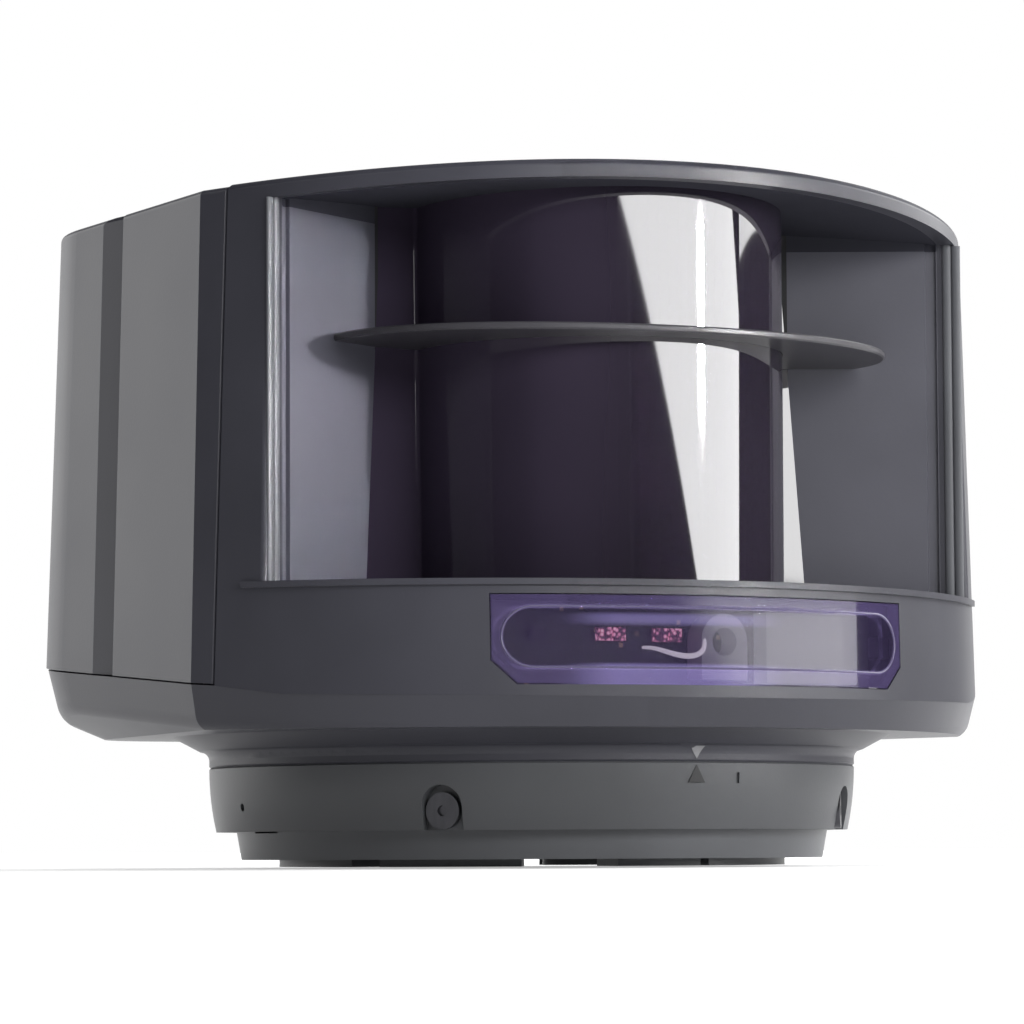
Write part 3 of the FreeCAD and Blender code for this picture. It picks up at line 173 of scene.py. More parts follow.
def window_plan(gap, lean=0.0):
    """Plan of the window's front, grown by a gap: a flat flange turned a little inwards, a hollow
    fillet and half of a circle, then the same on the other side. The fillet, of radius r, touches the
    flange's line and the circle of radius R, so its hub is r from the line and R + r from the centre.
    A lean sets the flange back."""
    face = np.array([-math.sin(FLANGE_TURN), -math.cos(FLANGE_TURN)])
    inward = np.array([math.cos(FLANGE_TURN), -math.sin(FLANGE_TURN)])
    end = FLANGE_END - WINDOW_CENTRE + (0.0, lean)
    start = end + WINDOW_FILLET * face
    along = start @ inward
    run = -along - math.sqrt(along ** 2 - start @ start + (WINDOW_ROUND + WINDOW_FILLET) ** 2)
    hub = start + run * inward
    rise = math.atan2(-hub[1], -hub[0])
    flat = end + gap * face + np.linspace(0.0, run, FLANGE_STEPS + 1)[:-1, None] * inward
    turn = np.linspace(0.5 * np.pi - FLANGE_TURN, rise, FILLET_STEPS + 1)[:-1]
    hollow = hub + (WINDOW_FILLET - gap) * np.column_stack([np.cos(turn), np.sin(turn)])
    sweep = np.linspace(np.pi + rise, 2.0 * np.pi - rise, BOW_POINTS)
    bow = (WINDOW_ROUND + gap) * np.column_stack([np.cos(sweep), np.sin(sweep)])
    side = np.concatenate([flat, hollow])
    return WINDOW_CENTRE + np.concatenate([side, bow, side[::-1] * (-1.0, 1.0)])


def shell(rings, loop=False):
    """Closed skin over rows of points: quads between neighbours, and a cap on each end unless looped.
    The sign of its volume tells whether the faces have to be turned outwards."""
    rows, count = rings.shape[:2]
    index = np.arange(rows * count).reshape(rows, count)
    ahead = np.roll(index, -1, axis=0) if loop else index[1:]
    here = index if loop else index[:-1]
    quads = np.stack([here, np.roll(here, -1, axis=1), np.roll(ahead, -1, axis=1), ahead], axis=-1)
    points = rings.reshape(-1, 3)
    faces = quads.reshape(-1, 4)
    centred = points - points.mean(axis=0)
    a, b, c, d = (centred[faces[:, k]] for k in range(4))
    volume = np.sum(a * np.cross(b, c)) + np.sum(a * np.cross(c, d))
    caps = [] if loop else [index[0][::-1], index[-1]]
    if volume < 0.0:
        faces = faces[:, ::-1]
        caps = [cap[::-1] for cap in caps]
    return points, faces, caps


def swept(profile, path, side, up):
    """Profile carried along a path: point (u, v) of the profile lands at path + u * side + v * up."""
    return path[:, None] + profile[None, :, :1] * side[:, None] + profile[None, :, 1:] * up[:, None]


def round_profile(radius, count=16, squeeze=1.0):
    """Circle of a radius, squeezed along its second direction."""
    turn = np.linspace(0.0, 2.0 * np.pi, count, endpoint=False)
    return np.stack([radius * np.cos(turn), squeeze * radius * np.sin(turn)], axis=-1)


def unit(rows):
    """Rows of vectors, each made one long."""
    return rows / np.linalg.norm(rows, axis=1, keepdims=True)


def build_piece(name, shells, material, body):
    """One mesh object from closed skins, smooth between gentle faces, riding on a body."""
    points, faces, start = [], [], 0
    for skin, quads, caps in shells:
        points.append(skin)
        faces += (quads + start).tolist()
        faces += [(cap + start).tolist() for cap in caps]
        start += len(skin)
    mesh = bpy.data.meshes.new(name)
    mesh.from_pydata(np.concatenate(points), [], faces)
    mesh.polygons.foreach_set("use_smooth", np.ones(len(faces), dtype=bool))
    mesh.set_sharp_from_angle(angle=SHARP_EDGE)
    mesh.materials.append(material)
    mesh.validate()
    piece = bpy.data.objects.new(name, mesh)
    bpy.context.scene.collection.objects.link(piece)
    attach(piece, body)
    return piece


def add(tree, kind, **sockets):
    """Shader node of a kind, with its sockets set to values or joined to other sockets."""
    node = tree.nodes.new("ShaderNode" + kind)
    for name, value in sockets.items():
        join(tree, value, node.inputs[name.replace("_", " ")])
    return node


def join(tree, value, socket):
    """Links an output socket to an input, or sets the input's value."""
    if isinstance(value, bpy.types.NodeSocket):
        tree.links.new(value, socket)
    else:
        socket.default_value = value


def calc(tree, operation, first, second=0.0):
    """Math node on two values or sockets."""
    node = tree.nodes.new("ShaderNodeMath")
    node.operation = operation
    join(tree, first, node.inputs[0])
    join(tree, second, node.inputs[1])
    return node.outputs[0]


def clamped(tree, value):
    """Value held between zero and one."""
    return calc(tree, "MINIMUM", calc(tree, "MAXIMUM", value, 0.0), 1.0)


def length(tree, vector):
    """Length of a vector."""
    node = tree.nodes.new("ShaderNodeVectorMath")
    node.operation = "LENGTH"
    tree.links.new(vector, node.inputs[0])
    return node.outputs["Value"]


def finish(name, **sockets):
    """Material with one principled shader, its sockets set, and the object's own coordinates."""
    material = bpy.data.materials.new(name)
    material.use_nodes = True
    tree = material.node_tree
    tree.nodes.clear()
    shader = add(tree, "BsdfPrincipled", **sockets)
    add(tree, "OutputMaterial", Surface=shader.outputs[0])
    place = add(tree, "TexCoord").outputs["Object"]
    return material, tree, shader, place


def insides(material):
    """Node tree, principled shader and object coordinates of a material that finish made."""
    kinds = {node.bl_idname: node for node in material.node_tree.nodes}
    place = kinds["ShaderNodeTexCoord"].outputs["Object"]
    return material.node_tree, kinds["ShaderNodeBsdfPrincipled"], place


def tint(tree, shader, factor):
    """Multiplies the colour that reaches a shader by a factor."""
    node = tree.nodes.new("ShaderNodeVectorMath")
    node.operation = "SCALE"
    tree.links.new(shader.inputs["Base Color"].links[0].from_socket, node.inputs[0])
    tree.links.new(factor, node.inputs["Scale"])
    tree.links.new(node.outputs[0], shader.inputs["Base Color"])


def ramp(tree, factor, stops):
    """Colour ramp over a factor, with (position, colour) stops."""
    node = add(tree, "ValToRGB", Fac=factor)
    while len(node.color_ramp.elements) < len(stops):
        node.color_ramp.elements.new(1.0)
    for element, (position, colour) in zip(node.color_ramp.elements, stops):
        element.position = position
        element.color = colour
    return node.outputs["Color"]


def shade(colour, factor):
    """Colour made lighter or darker by a factor, opaque."""
    return tuple(min(1.0, c * factor) for c in colour[:3]) + (1.0,)


def span(tree, factor, low, high, start=0.3, end=0.7):
    """Value that runs from low to high as a factor runs from start to end, a noise's usual range."""
    node = add(tree, "MapRange", Value=factor)
    for socket, value in zip(node.inputs[1:5], (start, end, low, high)):
        socket.default_value = value
    return node.outputs[0]


def paint(material, *names):
    """Gives a material to CAD nodes through their objects' slots."""
    for name in names:
        for place in NODES[name].material_slots:
            place.material = material


def moulded(name, colour, roughness, grain_mm, relief, cloud=0.10):
    """Satin moulded plastic: slow clouds shift colour and gloss, and a fine spark-eroded grain lifts
    the surface."""
    material, tree, shader, place = finish(name, Specular_IOR_Level=SATIN_SHEEN)
    slow = add(tree, "TexNoise", Vector=place, Scale=45.0, Detail=3.0).outputs[0]
    fine = add(tree, "TexNoise", Vector=place, Scale=1.0 / (grain_mm * MM), Detail=2.0).outputs[0]
    stops = ((0.3, shade(colour, 1.0 - cloud)), (0.7, shade(colour, 1.0 + cloud)))
    join(tree, ramp(tree, slow, stops), shader.inputs["Base Color"])
    join(tree, span(tree, slow, roughness - 0.03, roughness + 0.03), shader.inputs["Roughness"])
    bump = add(tree, "Bump", Strength=relief, Distance=0.02 * MM, Height=fine)
    join(tree, bump.outputs[0], shader.inputs["Normal"])
    return material


def polished(name, colour, roughness, variation=0.2, **sockets):
    """Polished plastic or glass: faint cloudiness in the colour and a very slight flow ripple."""
    material, tree, shader, place = finish(name, **sockets)
    slow = add(tree, "TexNoise", Vector=place, Scale=30.0, Detail=2.0).outputs[0]
    stops = ((0.3, shade(colour, 1.0 - variation)), (0.7, shade(colour, 1.0 + variation)))
    join(tree, ramp(tree, slow, stops), shader.inputs["Base Color"])
    join(tree, span(tree, slow, roughness * 0.8, roughness * 1.2), shader.inputs["Roughness"])
    ripple = add(tree, "TexNoise", Vector=place, Scale=18.0, Detail=0.0).outputs[0]
    bump = add(tree, "Bump", Strength=0.05, Distance=0.05 * MM, Height=ripple)
    join(tree, bump.outputs[0], shader.inputs["Normal"])
    return material


def brushed(name, colour, roughness, stretch, relief=0.15):
    """Worked metal: noise drawn out along an axis gives tool lines in colour, gloss and relief, and noise
    that isn't drawn out gives a cast skin."""
    material, tree, shader, place = finish(name, Metallic=1.0)
    lines = add(tree, "Mapping", Vector=place, Scale=stretch)
    noise = add(tree, "TexNoise", Vector=lines.outputs[0], Scale=1500.0, Detail=3.0).outputs[0]
    stops = ((0.3, shade(colour, 0.85)), (0.7, shade(colour, 1.1)))
    join(tree, ramp(tree, noise, stops), shader.inputs["Base Color"])
    join(tree, span(tree, noise, roughness - 0.08, roughness + 0.08), shader.inputs["Roughness"])
    bump = add(tree, "Bump", Strength=relief, Distance=0.01 * MM, Height=noise)
    join(tree, bump.outputs[0], shader.inputs["Normal"])
    return material


def circuit(name, colour, copper, pitch_mm):
    """Circuit board: a lacquer colour, lighter tracks on a cell pattern and small bright via dots."""
    material, tree, shader, place = finish(name)
    cells = add(tree, "TexVoronoi", Vector=place, Scale=1.0 / (pitch_mm * MM))
    cells.distance = "CHEBYCHEV"
    cells.feature = "F1"
    tracks = ramp(tree, cells.outputs["Distance"],
                  ((0.0, copper), (0.10, copper), (0.12, shade(colour, 1.0)), (0.40, shade(colour, 1.0)),
                   (0.44, shade(colour, 1.6)), (0.50, shade(colour, 1.6)), (0.54, shade(colour, 0.85))))
    join(tree, tracks, shader.inputs["Base Color"])
    grain = add(tree, "TexNoise", Vector=place, Scale=900.0, Detail=2.0).outputs[0]
    join(tree, span(tree, grain, 0.28, 0.42), shader.inputs["Roughness"])
    bump = add(tree, "Bump", Strength=0.2, Distance=0.03 * MM, Height=cells.outputs["Distance"])
    join(tree, bump.outputs[0], shader.inputs["Normal"])
    return material


def violet_pane(name, colour, cover):
    """Violet see-through plastic: a dark clear field with round ends, a light line round it and a paler rim,
    with a painted glow, standing in for the lamps' light caught in the plastic, in a band at its top and
    bottom. The field is measured as the distance from a straight middle line in the front view."""
    material, tree, shader, place = finish(name, Alpha=cover)
    split = add(tree, "SeparateXYZ", Vector=place)
    over = calc(tree, "SUBTRACT", calc(tree, "ABSOLUTE", split.outputs[0]), PANE_HALF - PANE_ROUND)
    rise = calc(tree, "SUBTRACT", split.outputs[2], PANE_Z)
    gap = add(tree, "CombineXYZ", X=calc(tree, "MAXIMUM", over, 0.0), Y=rise)
    share = calc(tree, "DIVIDE", length(tree, gap.outputs[0]), 2.0 * PANE_ROUND)
    field = shade(colour, 0.35)
    stops = ((0.0, field), (0.46, field), (0.49, shade(colour, 2.6)), (0.515, shade(colour, 2.6)),
             (0.54, shade(colour, 1.0)), (1.0, shade(colour, 1.0)))
    join(tree, ramp(tree, share, stops), shader.inputs["Base Color"])
    slow = add(tree, "TexNoise", Vector=place, Scale=120.0, Detail=2.0).outputs[0]
    join(tree, span(tree, slow, 0.05, 0.09), shader.inputs["Roughness"])
    # painted light: an emitted violet glow in bands at the top and bottom of the field, strongest about
    # GLOW_X
    aside = calc(tree, "ABSOLUTE", calc(tree, "SUBTRACT", split.outputs[0], GLOW_X))
    middle = clamped(tree, calc(tree, "SUBTRACT", GLOW_REACH, calc(tree, "DIVIDE", aside, GLOW_FADE)))
    height = calc(tree, "ADD", calc(tree, "DIVIDE", rise, 2.0 * PANE_ROUND), 0.5)
    dark, lit = (0.0, 0.0, 0.0, 1.0), (0.42, 0.36, 0.80, 1.0)
    painted_glow_bands = ((0.0, lit), (0.05, lit), (0.09, dark), (0.68, dark), (0.76, lit), (0.85, lit), (0.92, dark))
    join(tree, ramp(tree, height, painted_glow_bands), shader.inputs["Emission Color"])
    join(tree, calc(tree, "MULTIPLY", middle, GLOW_LEVEL), shader.inputs["Emission Strength"])
    return material


class SensorFinishes(bpy.types.PropertyGroup):
    """Colours and gloss of the finishes."""

    housing: bpy.props.FloatVectorProperty(
        name="Housing", description="Anthracite plastic of the head", subtype="COLOR",
        size=3, min=0.0, max=1.0, default=(0.054, 0.054, 0.068))
    bracket: bpy.props.FloatVectorProperty(
        name="Bracket", description="Anthracite plastic of the bracket", subtype="COLOR",
        size=3, min=0.0, max=1.0, default=(0.088, 0.091, 0.098))
    window: bpy.props.FloatVectorProperty(
        name="Laser window", description="Near-black filter plastic", subtype="COLOR",
        size=3, min=0.0, max=1.0, default=(0.024, 0.019, 0.031))
    violet: bpy.props.FloatVectorProperty(
        name="Indicator window", description="Violet see-through plastic", subtype="COLOR",
        size=3, min=0.0, max=1.0, default=(0.130, 0.100, 0.240))
    housing_gloss: bpy.props.FloatProperty(
        name="Housing roughness", description="Roughness of the satin plastic", subtype="FACTOR",
        min=0.05, max=1.0, default=0.36)
    panel_cover: bpy.props.FloatProperty(
        name="Indicator cover", description="How much the violet window hides what lies behind it",
        subtype="FACTOR", min=0.0, max=1.0, default=0.44)


class SensorFittings(bpy.types.PropertyGroup):
    """Sizes of the small fitted pieces."""

    ridge_width: bpy.props.FloatProperty(
        name="Ridge width", description="Width of each of the two ridges on a post", unit="LENGTH",
        min=0.0002, max=0.002, default=0.00115)
    line_radius: bpy.props.FloatProperty(
        name="Panel line radius", description="Radius of the light line round the indicator", unit="LENGTH",
        min=0.00005, max=0.001, default=0.00013)


class SensorStudio(bpy.types.PropertyGroup):
    """Camera and light of the studio."""

    camera_place: bpy.props.FloatVectorProperty(
        name="Camera place", description="Where the camera stands", subtype="TRANSLATION", unit="LENGTH",
        size=3, default=(-0.2773, -0.5049, 0.00205))
    heading: bpy.props.FloatProperty(
        name="Heading", description="Turn of the camera about the vertical", subtype="ANGLE",
        default=math.radians(-28.545))
    pitch: bpy.props.FloatProperty(
        name="Pitch", description="Upward tilt of the camera", subtype="ANGLE", default=math.radians(4.29))
    roll: bpy.props.FloatProperty(
        name="Roll", description="Roll of the camera", subtype="ANGLE", default=math.radians(-0.29))
    lens: bpy.props.FloatProperty(
        name="Lens", description="Focal length on a 36 mm sensor", subtype="DISTANCE_CAMERA", default=158.2)
    ambient: bpy.props.FloatProperty(
        name="Room light", description="Level of the even light from the room", min=0.0, max=1.0,
        default=0.44)


class SENSOR_OT_housing(bpy.types.Operator):
    """Satin plastic on the shells of the head"""

    bl_idname = "sensor.housing"
    bl_label = "Housing finishes"

    def execute(self, context):
        look = context.scene.sensor_finishes
        gloss = look.housing_gloss
        plain = moulded("housing_plastic", look.housing, gloss, 0.35, 0.35)
        self.matt_roof(plain)
        paint(plain, "rear_cover")
        paint(self.recess_painted_light_and_shade(plain), "front_housing")
        # painted shade: the lower housing under the head takes the housing's colour made darker
        paint(moulded("bowl_plastic_painted_shade", shade(look.housing, 0.90), gloss + 0.04, 0.35, 0.4), "lower_housing")
        return {"FINISHED"}

    def crowned(self, tree, split):
        """Level with the roof's crown taken out: z + x^2 / (2 CROWN)."""
        square = calc(tree, "POWER", calc(tree, "ABSOLUTE", split.outputs[0]), 2.0)
        return calc(tree, "ADD", split.outputs[2], calc(tree, "MULTIPLY", square, 0.5 / CROWN))

    def matt_roof(self, material):
        """Takes nearly all sheen from the crowned roof."""
        tree, shader, place = insides(material)
        level = self.crowned(tree, add(tree, "SeparateXYZ", Vector=place))
        on_roof = calc(tree, "GREATER_THAN", level, HEAD_TOP - ROOF_EDGE)
        loss = calc(tree, "MULTIPLY", on_roof, ROOF_MATT * SATIN_SHEEN)
        join(tree, calc(tree, "SUBTRACT", SATIN_SHEEN, loss), shader.inputs["Specular IOR Level"])

    def recess_painted_light_and_shade(self, plain):
        """The housing's plastic inside the recess, with painted light on its walls, painted shade under its
        ceiling, and more sheen on the walls and none on the ceiling. The recess is told by the distance from
        the front arc's axis, by the level and by the crowned ceiling."""
        material = plain.copy()
        material.name = "recess_painted_light_and_shade"
        tree, shader, place = insides(material)
        split = add(tree, "SeparateXYZ", Vector=place)
        across = calc(tree, "POWER", calc(tree, "ABSOLUTE", split.outputs[0]), 2.0)
        back = calc(tree, "ABSOLUTE", calc(tree, "SUBTRACT", split.outputs[1], ARC_Y))
        radius = calc(tree, "SQRT", calc(tree, "ADD", across, calc(tree, "POWER", back, 2.0)))
        inside = calc(tree, "LESS_THAN", radius, ARC_TOP - RECESS_LIP)
        over_sill = calc(tree, "GREATER_THAN", split.outputs[2], SILL_TOP + RECESS_SILL)
        in_roof = calc(tree, "GREATER_THAN", split.outputs[2], CEILING - CEILING_DROP)
        below_roof = calc(tree, "LESS_THAN", self.crowned(tree, split), CEILING + CEILING_GAP)
        recess = calc(tree, "MULTIPLY", inside, below_roof)
        # painted light: walls above the sill are made twice as light; painted shade: in the band under the
        # roof the gain falls back to 1.2
        level = calc(tree, "ADD", over_sill, calc(tree, "MULTIPLY", in_roof, CEILING_PAINTED_SHADE))
        gain = calc(tree, "ADD", calc(tree, "MULTIPLY", recess, level), 1.0)
        tint(tree, shader, gain)
        sheen = shader.inputs["Specular IOR Level"].links[0].from_socket
        off_ceiling = calc(tree, "SUBTRACT", 1.0, calc(tree, "MULTIPLY", recess, in_roof))
        share = calc(tree, "MULTIPLY", gain, off_ceiling)
        join(tree, calc(tree, "MULTIPLY", share, sheen), shader.inputs["Specular IOR Level"])
        return material


class SENSOR_OT_bracket(bpy.types.Operator):
    """Satin plastic and metal on the bracket"""

    bl_idname = "sensor.bracket"
    bl_label = "Bracket finishes"

    def execute(self, context):
        look = context.scene.sensor_finishes
        paint(moulded("bracket_plastic", look.bracket, look.housing_gloss, 0.4, 0.4), "tilt_ring")
        # painted light: the base plate takes the bracket's colour made lighter
        paint(moulded("base_plastic_painted_light", shade(look.bracket, 1.45), look.housing_gloss, 0.4, 0.4),
              "base_plate")
        paint(brushed("pin_steel", (0.60, 0.60, 0.61), 0.28, (0.05, 1.0, 1.0)), "tilt_pins")
        paint(brushed("black_screw_steel", (0.10, 0.10, 0.11), 0.36, (1.0, 1.0, 0.2)), "lock_screws")
        return {"FINISHED"}


class SENSOR_OT_window(bpy.types.Operator):
    """Polished filter window with a flange at each side, its rubber seal and the divider fin"""

    bl_idname = "sensor.window"
    bl_label = "Window and fin"

    def execute(self, context):
        look = context.scene.sensor_finishes
        filter_plastic = polished("filter_window", look.window, 0.03, 0.15, IOR=2.0)
        self.dull_end(filter_plastic)
        fin_plastic = moulded("fin_plastic", (0.050, 0.048, 0.056), 0.34, 0.3, 0.3)
        paint(filter_plastic, "laser_window")
        paint(fin_plastic, "divider_fin")
        paint(moulded("seal_rubber", (0.028, 0.028, 0.030), 0.62, 0.25, 0.5), "window_seal")
        pane = build_piece("filter_window", [self.pane()], filter_plastic, "head")
        fin = build_piece("divider_crescent", [self.crescent()], fin_plastic, "head")
        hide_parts("laser_window")
        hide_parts("divider_fin")
        return {"FINISHED"}

    def dull_end(self, material):
        """Takes most of the gloss from the window's left end, which mirrors nothing in the photograph,
        and makes its colour paler."""
        tree, shader, place = insides(material)
        aside = calc(tree, "SUBTRACT", DULL_X, add(tree, "SeparateXYZ", Vector=place).outputs[0])
        share = clamped(tree, calc(tree, "DIVIDE", aside, DULL_RUN))
        # painted light: the left end's colour grows up to twice as pale, in place of the reflection taken
        # from it
        tint(tree, shader, calc(tree, "ADD", share, 1.0))
        loss = calc(tree, "MULTIPLY", share, DULL_LOSS)
        join(tree, calc(tree, "SUBTRACT", PLAIN_SPECULAR, loss), shader.inputs["Specular IOR Level"])

    def pane(self):
        """Wall between two window plans, from the sill up to the crowned ceiling. Its flanges lean back
        with height, by the draft of the mould."""
        rings = []
        for gap, lean in ((0.0, -1.0), (0.0, 1.0), (-WINDOW_WALL, 1.0), (-WINDOW_WALL, -1.0)):
            plan = window_plan(gap, lean * FLANGE_DRAFT)
            level = ceiling_at(plan[:, 0]) if lean > 0.0 else np.full(len(plan), SILL_TOP)
            rings.append(np.column_stack([plan, level]))
        return shell(np.stack(rings, axis=1))

    def crescent(self):
        """Flat plate from the window out to half an ellipse with straight ends at the recess walls, its
        rim chamfered. Each row runs round the plate's section at one place along the window."""
        inner = window_plan(FIN_GAP)
        sweep = np.linspace(np.pi, 2.0 * np.pi, BOW_POINTS)
        side = np.full(FLANGE_STEPS + FILLET_STEPS, FIN_HALF)
        lean = (POST_EDGE[1] - WINDOW_EDGE[1]) / (POST_EDGE[0] - WINDOW_EDGE[0])
        seat = WINDOW_EDGE[1] + lean * (FIN_HALF - WINDOW_EDGE[0])
        end = np.linspace(seat, FIN_SHOULDER, len(side) + 1)[:-1]
        x = np.concatenate([-side, FIN_HALF * np.cos(sweep), side])
        y = np.concatenate([end, FIN_SHOULDER + FIN_REACH * np.sin(sweep), end[::-1]])
        outer = np.column_stack([x, y])
        rim = outer - FIN_CHAMFER * unit(outer - inner)
        low, high = (corner[2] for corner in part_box("divider_fin"))
        rows = ((inner, low), (rim, low), (outer, low + FIN_CHAMFER), (outer, high - FIN_CHAMFER),
                (rim, high), (inner, high))
        rings = [np.column_stack([plan, np.full(len(plan), level)]) for plan, level in rows]
        return shell(np.stack(rings, axis=1))


class SENSOR_OT_indicator(bpy.types.Operator):
    """Violet see-through window with the board, lamps, holder and light guide behind it"""

    bl_idname = "sensor.indicator"
    bl_label = "Indicator finishes"

    def execute(self, context):
        look = context.scene.sensor_finishes
        paint(violet_pane("violet_window", look.violet, look.panel_cover), "indicator_window")
        paint(circuit("lamp_board", (0.020, 0.017, 0.032), (0.60, 0.42, 0.22, 1.0), 2.4), "led_board")
        paint(self.lamp_plastic(), "status_leds")
        paint(moulded("holder_plastic", (0.66, 0.62, 0.74), 0.42, 0.3, 0.4), "aperture_holder")
        # painted light: the light guide glows a little by itself, standing in for the lamps' light carried
        # in it
        guide = polished("guide_plastic", (0.72, 0.70, 0.75), 0.35, 0.1,
                         Emission_Color=(0.9, 0.88, 1.0, 1.0), Emission_Strength=0.15)
        paint(guide, "light_guide")
        return {"FINISHED"}

    def lamp_plastic(self):
        """Clear lamp bodies: pink and white cells glow, and the lamp at the far left stays dark."""
        material, tree, shader, place = finish("lamp_plastic", Roughness=0.2, Emission_Strength=1.1)
        cells = add(tree, "TexVoronoi", Vector=place, Scale=1900.0)
        spots = ramp(tree, cells.outputs["Distance"],
                     ((0.0, (1.0, 0.80, 0.86, 1.0)), (0.35, (0.85, 0.30, 0.48, 1.0)),
                      (0.6, (0.10, 0.03, 0.08, 1.0)), (1.0, (0.06, 0.03, 0.07, 1.0))))
        split = add(tree, "SeparateXYZ", Vector=place)
        lit = calc(tree, "GREATER_THAN", split.outputs[0], DARK_LAMP_X)
        glow = add(tree, "Mix", Factor=lit)
        glow.data_type = "RGBA"
        dull = next(socket for socket in glow.inputs if socket.name == "A" and socket.type == "RGBA")
        bright = next(socket for socket in glow.inputs if socket.name == "B" and socket.type == "RGBA")
        dull.default_value = (0.02, 0.015, 0.03, 1.0)
        tree.links.new(spots, bright)
        colour = next(socket for socket in glow.outputs if socket.type == "RGBA")
        tree.links.new(colour, shader.inputs["Base Color"])
        tree.links.new(colour, shader.inputs["Emission Color"])
        return material


class SENSOR_OT_optics(bpy.types.Operator):
    """Metal, glass and boards of the optics inside the head"""

    bl_idname = "sensor.optics"
    bl_label = "Optics finishes"

    def execute(self, context):
        paint(brushed("cast_frame", (0.60, 0.61, 0.63), 0.45, (1.0, 1.0, 1.0), 0.5), "optics_frame")
        paint(brushed("bright_steel", (0.62, 0.62, 0.62), 0.25, (1.0, 1.0, 0.1)),
              "frame_screws", "shaft_bearings", "mirror_shaft")
        paint(brushed("stator_iron", (0.20, 0.15, 0.12), 0.50, (0.1, 0.1, 8.0)), "motor_stator")
        paint(brushed("turned_rotor", (0.68, 0.68, 0.70), 0.28, (0.3, 0.3, 4.0)), "motor_rotor")
        paint(polished("mirror_coat", (0.88, 0.88, 0.90), 0.02, 0.03, Metallic=1.0), "scan_mirror")
        paint(brushed("turned_brass", (0.72, 0.54, 0.26), 0.26, (6.0, 0.3, 0.3)), "laser_module")
        glass = polished("lens_glass", (0.86, 0.90, 0.94), 0.02, 0.03, Transmission_Weight=0.9, IOR=1.52)
        paint(glass, "collimator_lens", "receiver_lens")
        paint(circuit("green_board", (0.030, 0.130, 0.060), (0.70, 0.55, 0.30, 1.0), 3.2),
              "receiver_board", "main_board")
        paint(polished("detector_chip", (0.030, 0.030, 0.038), 0.15, 0.3), "photo_detector")
        paint(moulded("socket_plastic", (0.070, 0.070, 0.072), 0.45, 0.3, 0.4), "connector_socket")
        return {"FINISHED"}


class SENSOR_OT_post_ridges(bpy.types.Operator):
    """Two ridges from sill to ceiling on the edge of each post, pale as painted highlight"""

    bl_idname = "sensor.post_ridges"
    bl_label = "Post ridges"

    def execute(self, context):
        width = context.scene.sensor_fittings.ridge_width
        along = (POST_EDGE - WINDOW_EDGE) / np.linalg.norm(POST_EDGE - WINDOW_EDGE)
        out = np.array([along[1], -along[0]])
        ridges = []
        for place in (0.5, 1.5):
            foot = POST_EDGE - along * (place * RIDGE_PITCH * width)
            ridges += self.upright(foot, along, out, width / 2.0)
        # painted highlight: the ridges are made about three times as light as the housing
        pale = moulded("ridge_painted_highlight", (0.15, 0.155, 0.170), 0.36, 0.4, 0.05)
        build_piece("post_ridges", ridges, pale, "head")
        return {"FINISHED"}

    def upright(self, foot, along, out, radius):
        """Ellipse half as high as it is wide, carried straight up from the sill to the ceiling, and its
        mirror image."""
        level = np.linspace(SILL_TOP, ceiling_at(foot[0]), 24)
        foots, side, up = (np.tile(row, (len(level), 1)) for row in (foot, [*along, 0.0], [*out, 0.0]))
        rod = swept(round_profile(radius, 24, 0.5), np.column_stack([foots, level]), side, up)
        return [shell(rod), shell(rod * (-1.0, 1.0, 1.0))]


class SENSOR_OT_panel_line(bpy.types.Operator):
    """Slim bead with round ends on the indicator window"""

    bl_idname = "sensor.panel_line"
    bl_label = "Panel line"

    def execute(self, context):
        radius = context.scene.sensor_fittings.line_radius
        path = self.outline(40)
        ahead = unit(np.roll(path, -1, axis=0) - np.roll(path, 1, axis=0))
        out = unit(np.stack([path[:, 0], path[:, 1] - ARC_Y, np.zeros(len(path))], axis=-1))
        line = swept(round_profile(radius, 8), path, np.cross(ahead, out), out)
        pale = polished("line_plastic", (0.11, 0.095, 0.17), 0.2, 0.2)
        build_piece("panel_line", [shell(line, loop=True)], pale, "head")
        return {"FINISHED"}

    def outline(self, steps):
        """Closed path round the field on the front arc: a half circle at each end and a level run above
        and below, each with the same number of steps."""
        turn = np.linspace(-0.5 * np.pi, 0.5 * np.pi, steps)
        run = PANE_HALF - PANE_ROUND
        end_x, end_z = run + PANE_ROUND * np.cos(turn), PANE_ROUND * np.sin(turn)
        level = np.linspace(run, -run, steps + 2)[1:-1]
        rise = np.full(steps, PANE_ROUND)
        x = np.concatenate([end_x, level, -end_x, -level])
        z = PANE_Z + np.concatenate([end_z, rise, -end_z, -rise])
        return on_front(x, z)


class SENSOR_OT_light_pipe(bpy.types.Operator):
    """Bent white light pipe from the lamp board into the aperture holder"""

    bl_idname = "sensor.light_pipe"
    bl_label = "Light pipe"

    def execute(self, context):
        # painted light: the pipe glows by itself, standing in for the lamps' light carried in it
        white = polished("pipe_plastic", (0.86, 0.82, 0.90), 0.2, 0.05,
                         Emission_Color=(0.95, 0.85, 1.0, 1.0), Emission_Strength=0.9)
        build_piece("light_pipe", [self.pipe()], white, "head")
        return {"FINISHED"}

    def pipe(self):
        """Circle carried along a smooth curve. Each point of the curve is a mean of the control points:
        at a share s of the way, point k of n weighs (n over k) s^k (1 - s)^(n - k). The radius swells
        towards the middle by half a sine wave."""
        share = np.linspace(0.0, 1.0, 48)[:, None]
        order = np.arange(len(PIPE_POINTS))
        last = order[-1]
        choose = np.array([math.comb(last, k) for k in order])
        path = (choose * share ** order * (1.0 - share) ** (last - order)) @ PIPE_POINTS
        ahead = unit(np.gradient(path, axis=0))
        side = unit(np.cross(ahead, (0.3, 0.2, 1.0)))
        swell = (PIPE_END + (1.0 - PIPE_END) * np.sin(np.pi * share)) * PIPE_RADIUS
        return shell(swept(round_profile(1.0, 14), path, side * swell, np.cross(side, ahead) * swell))


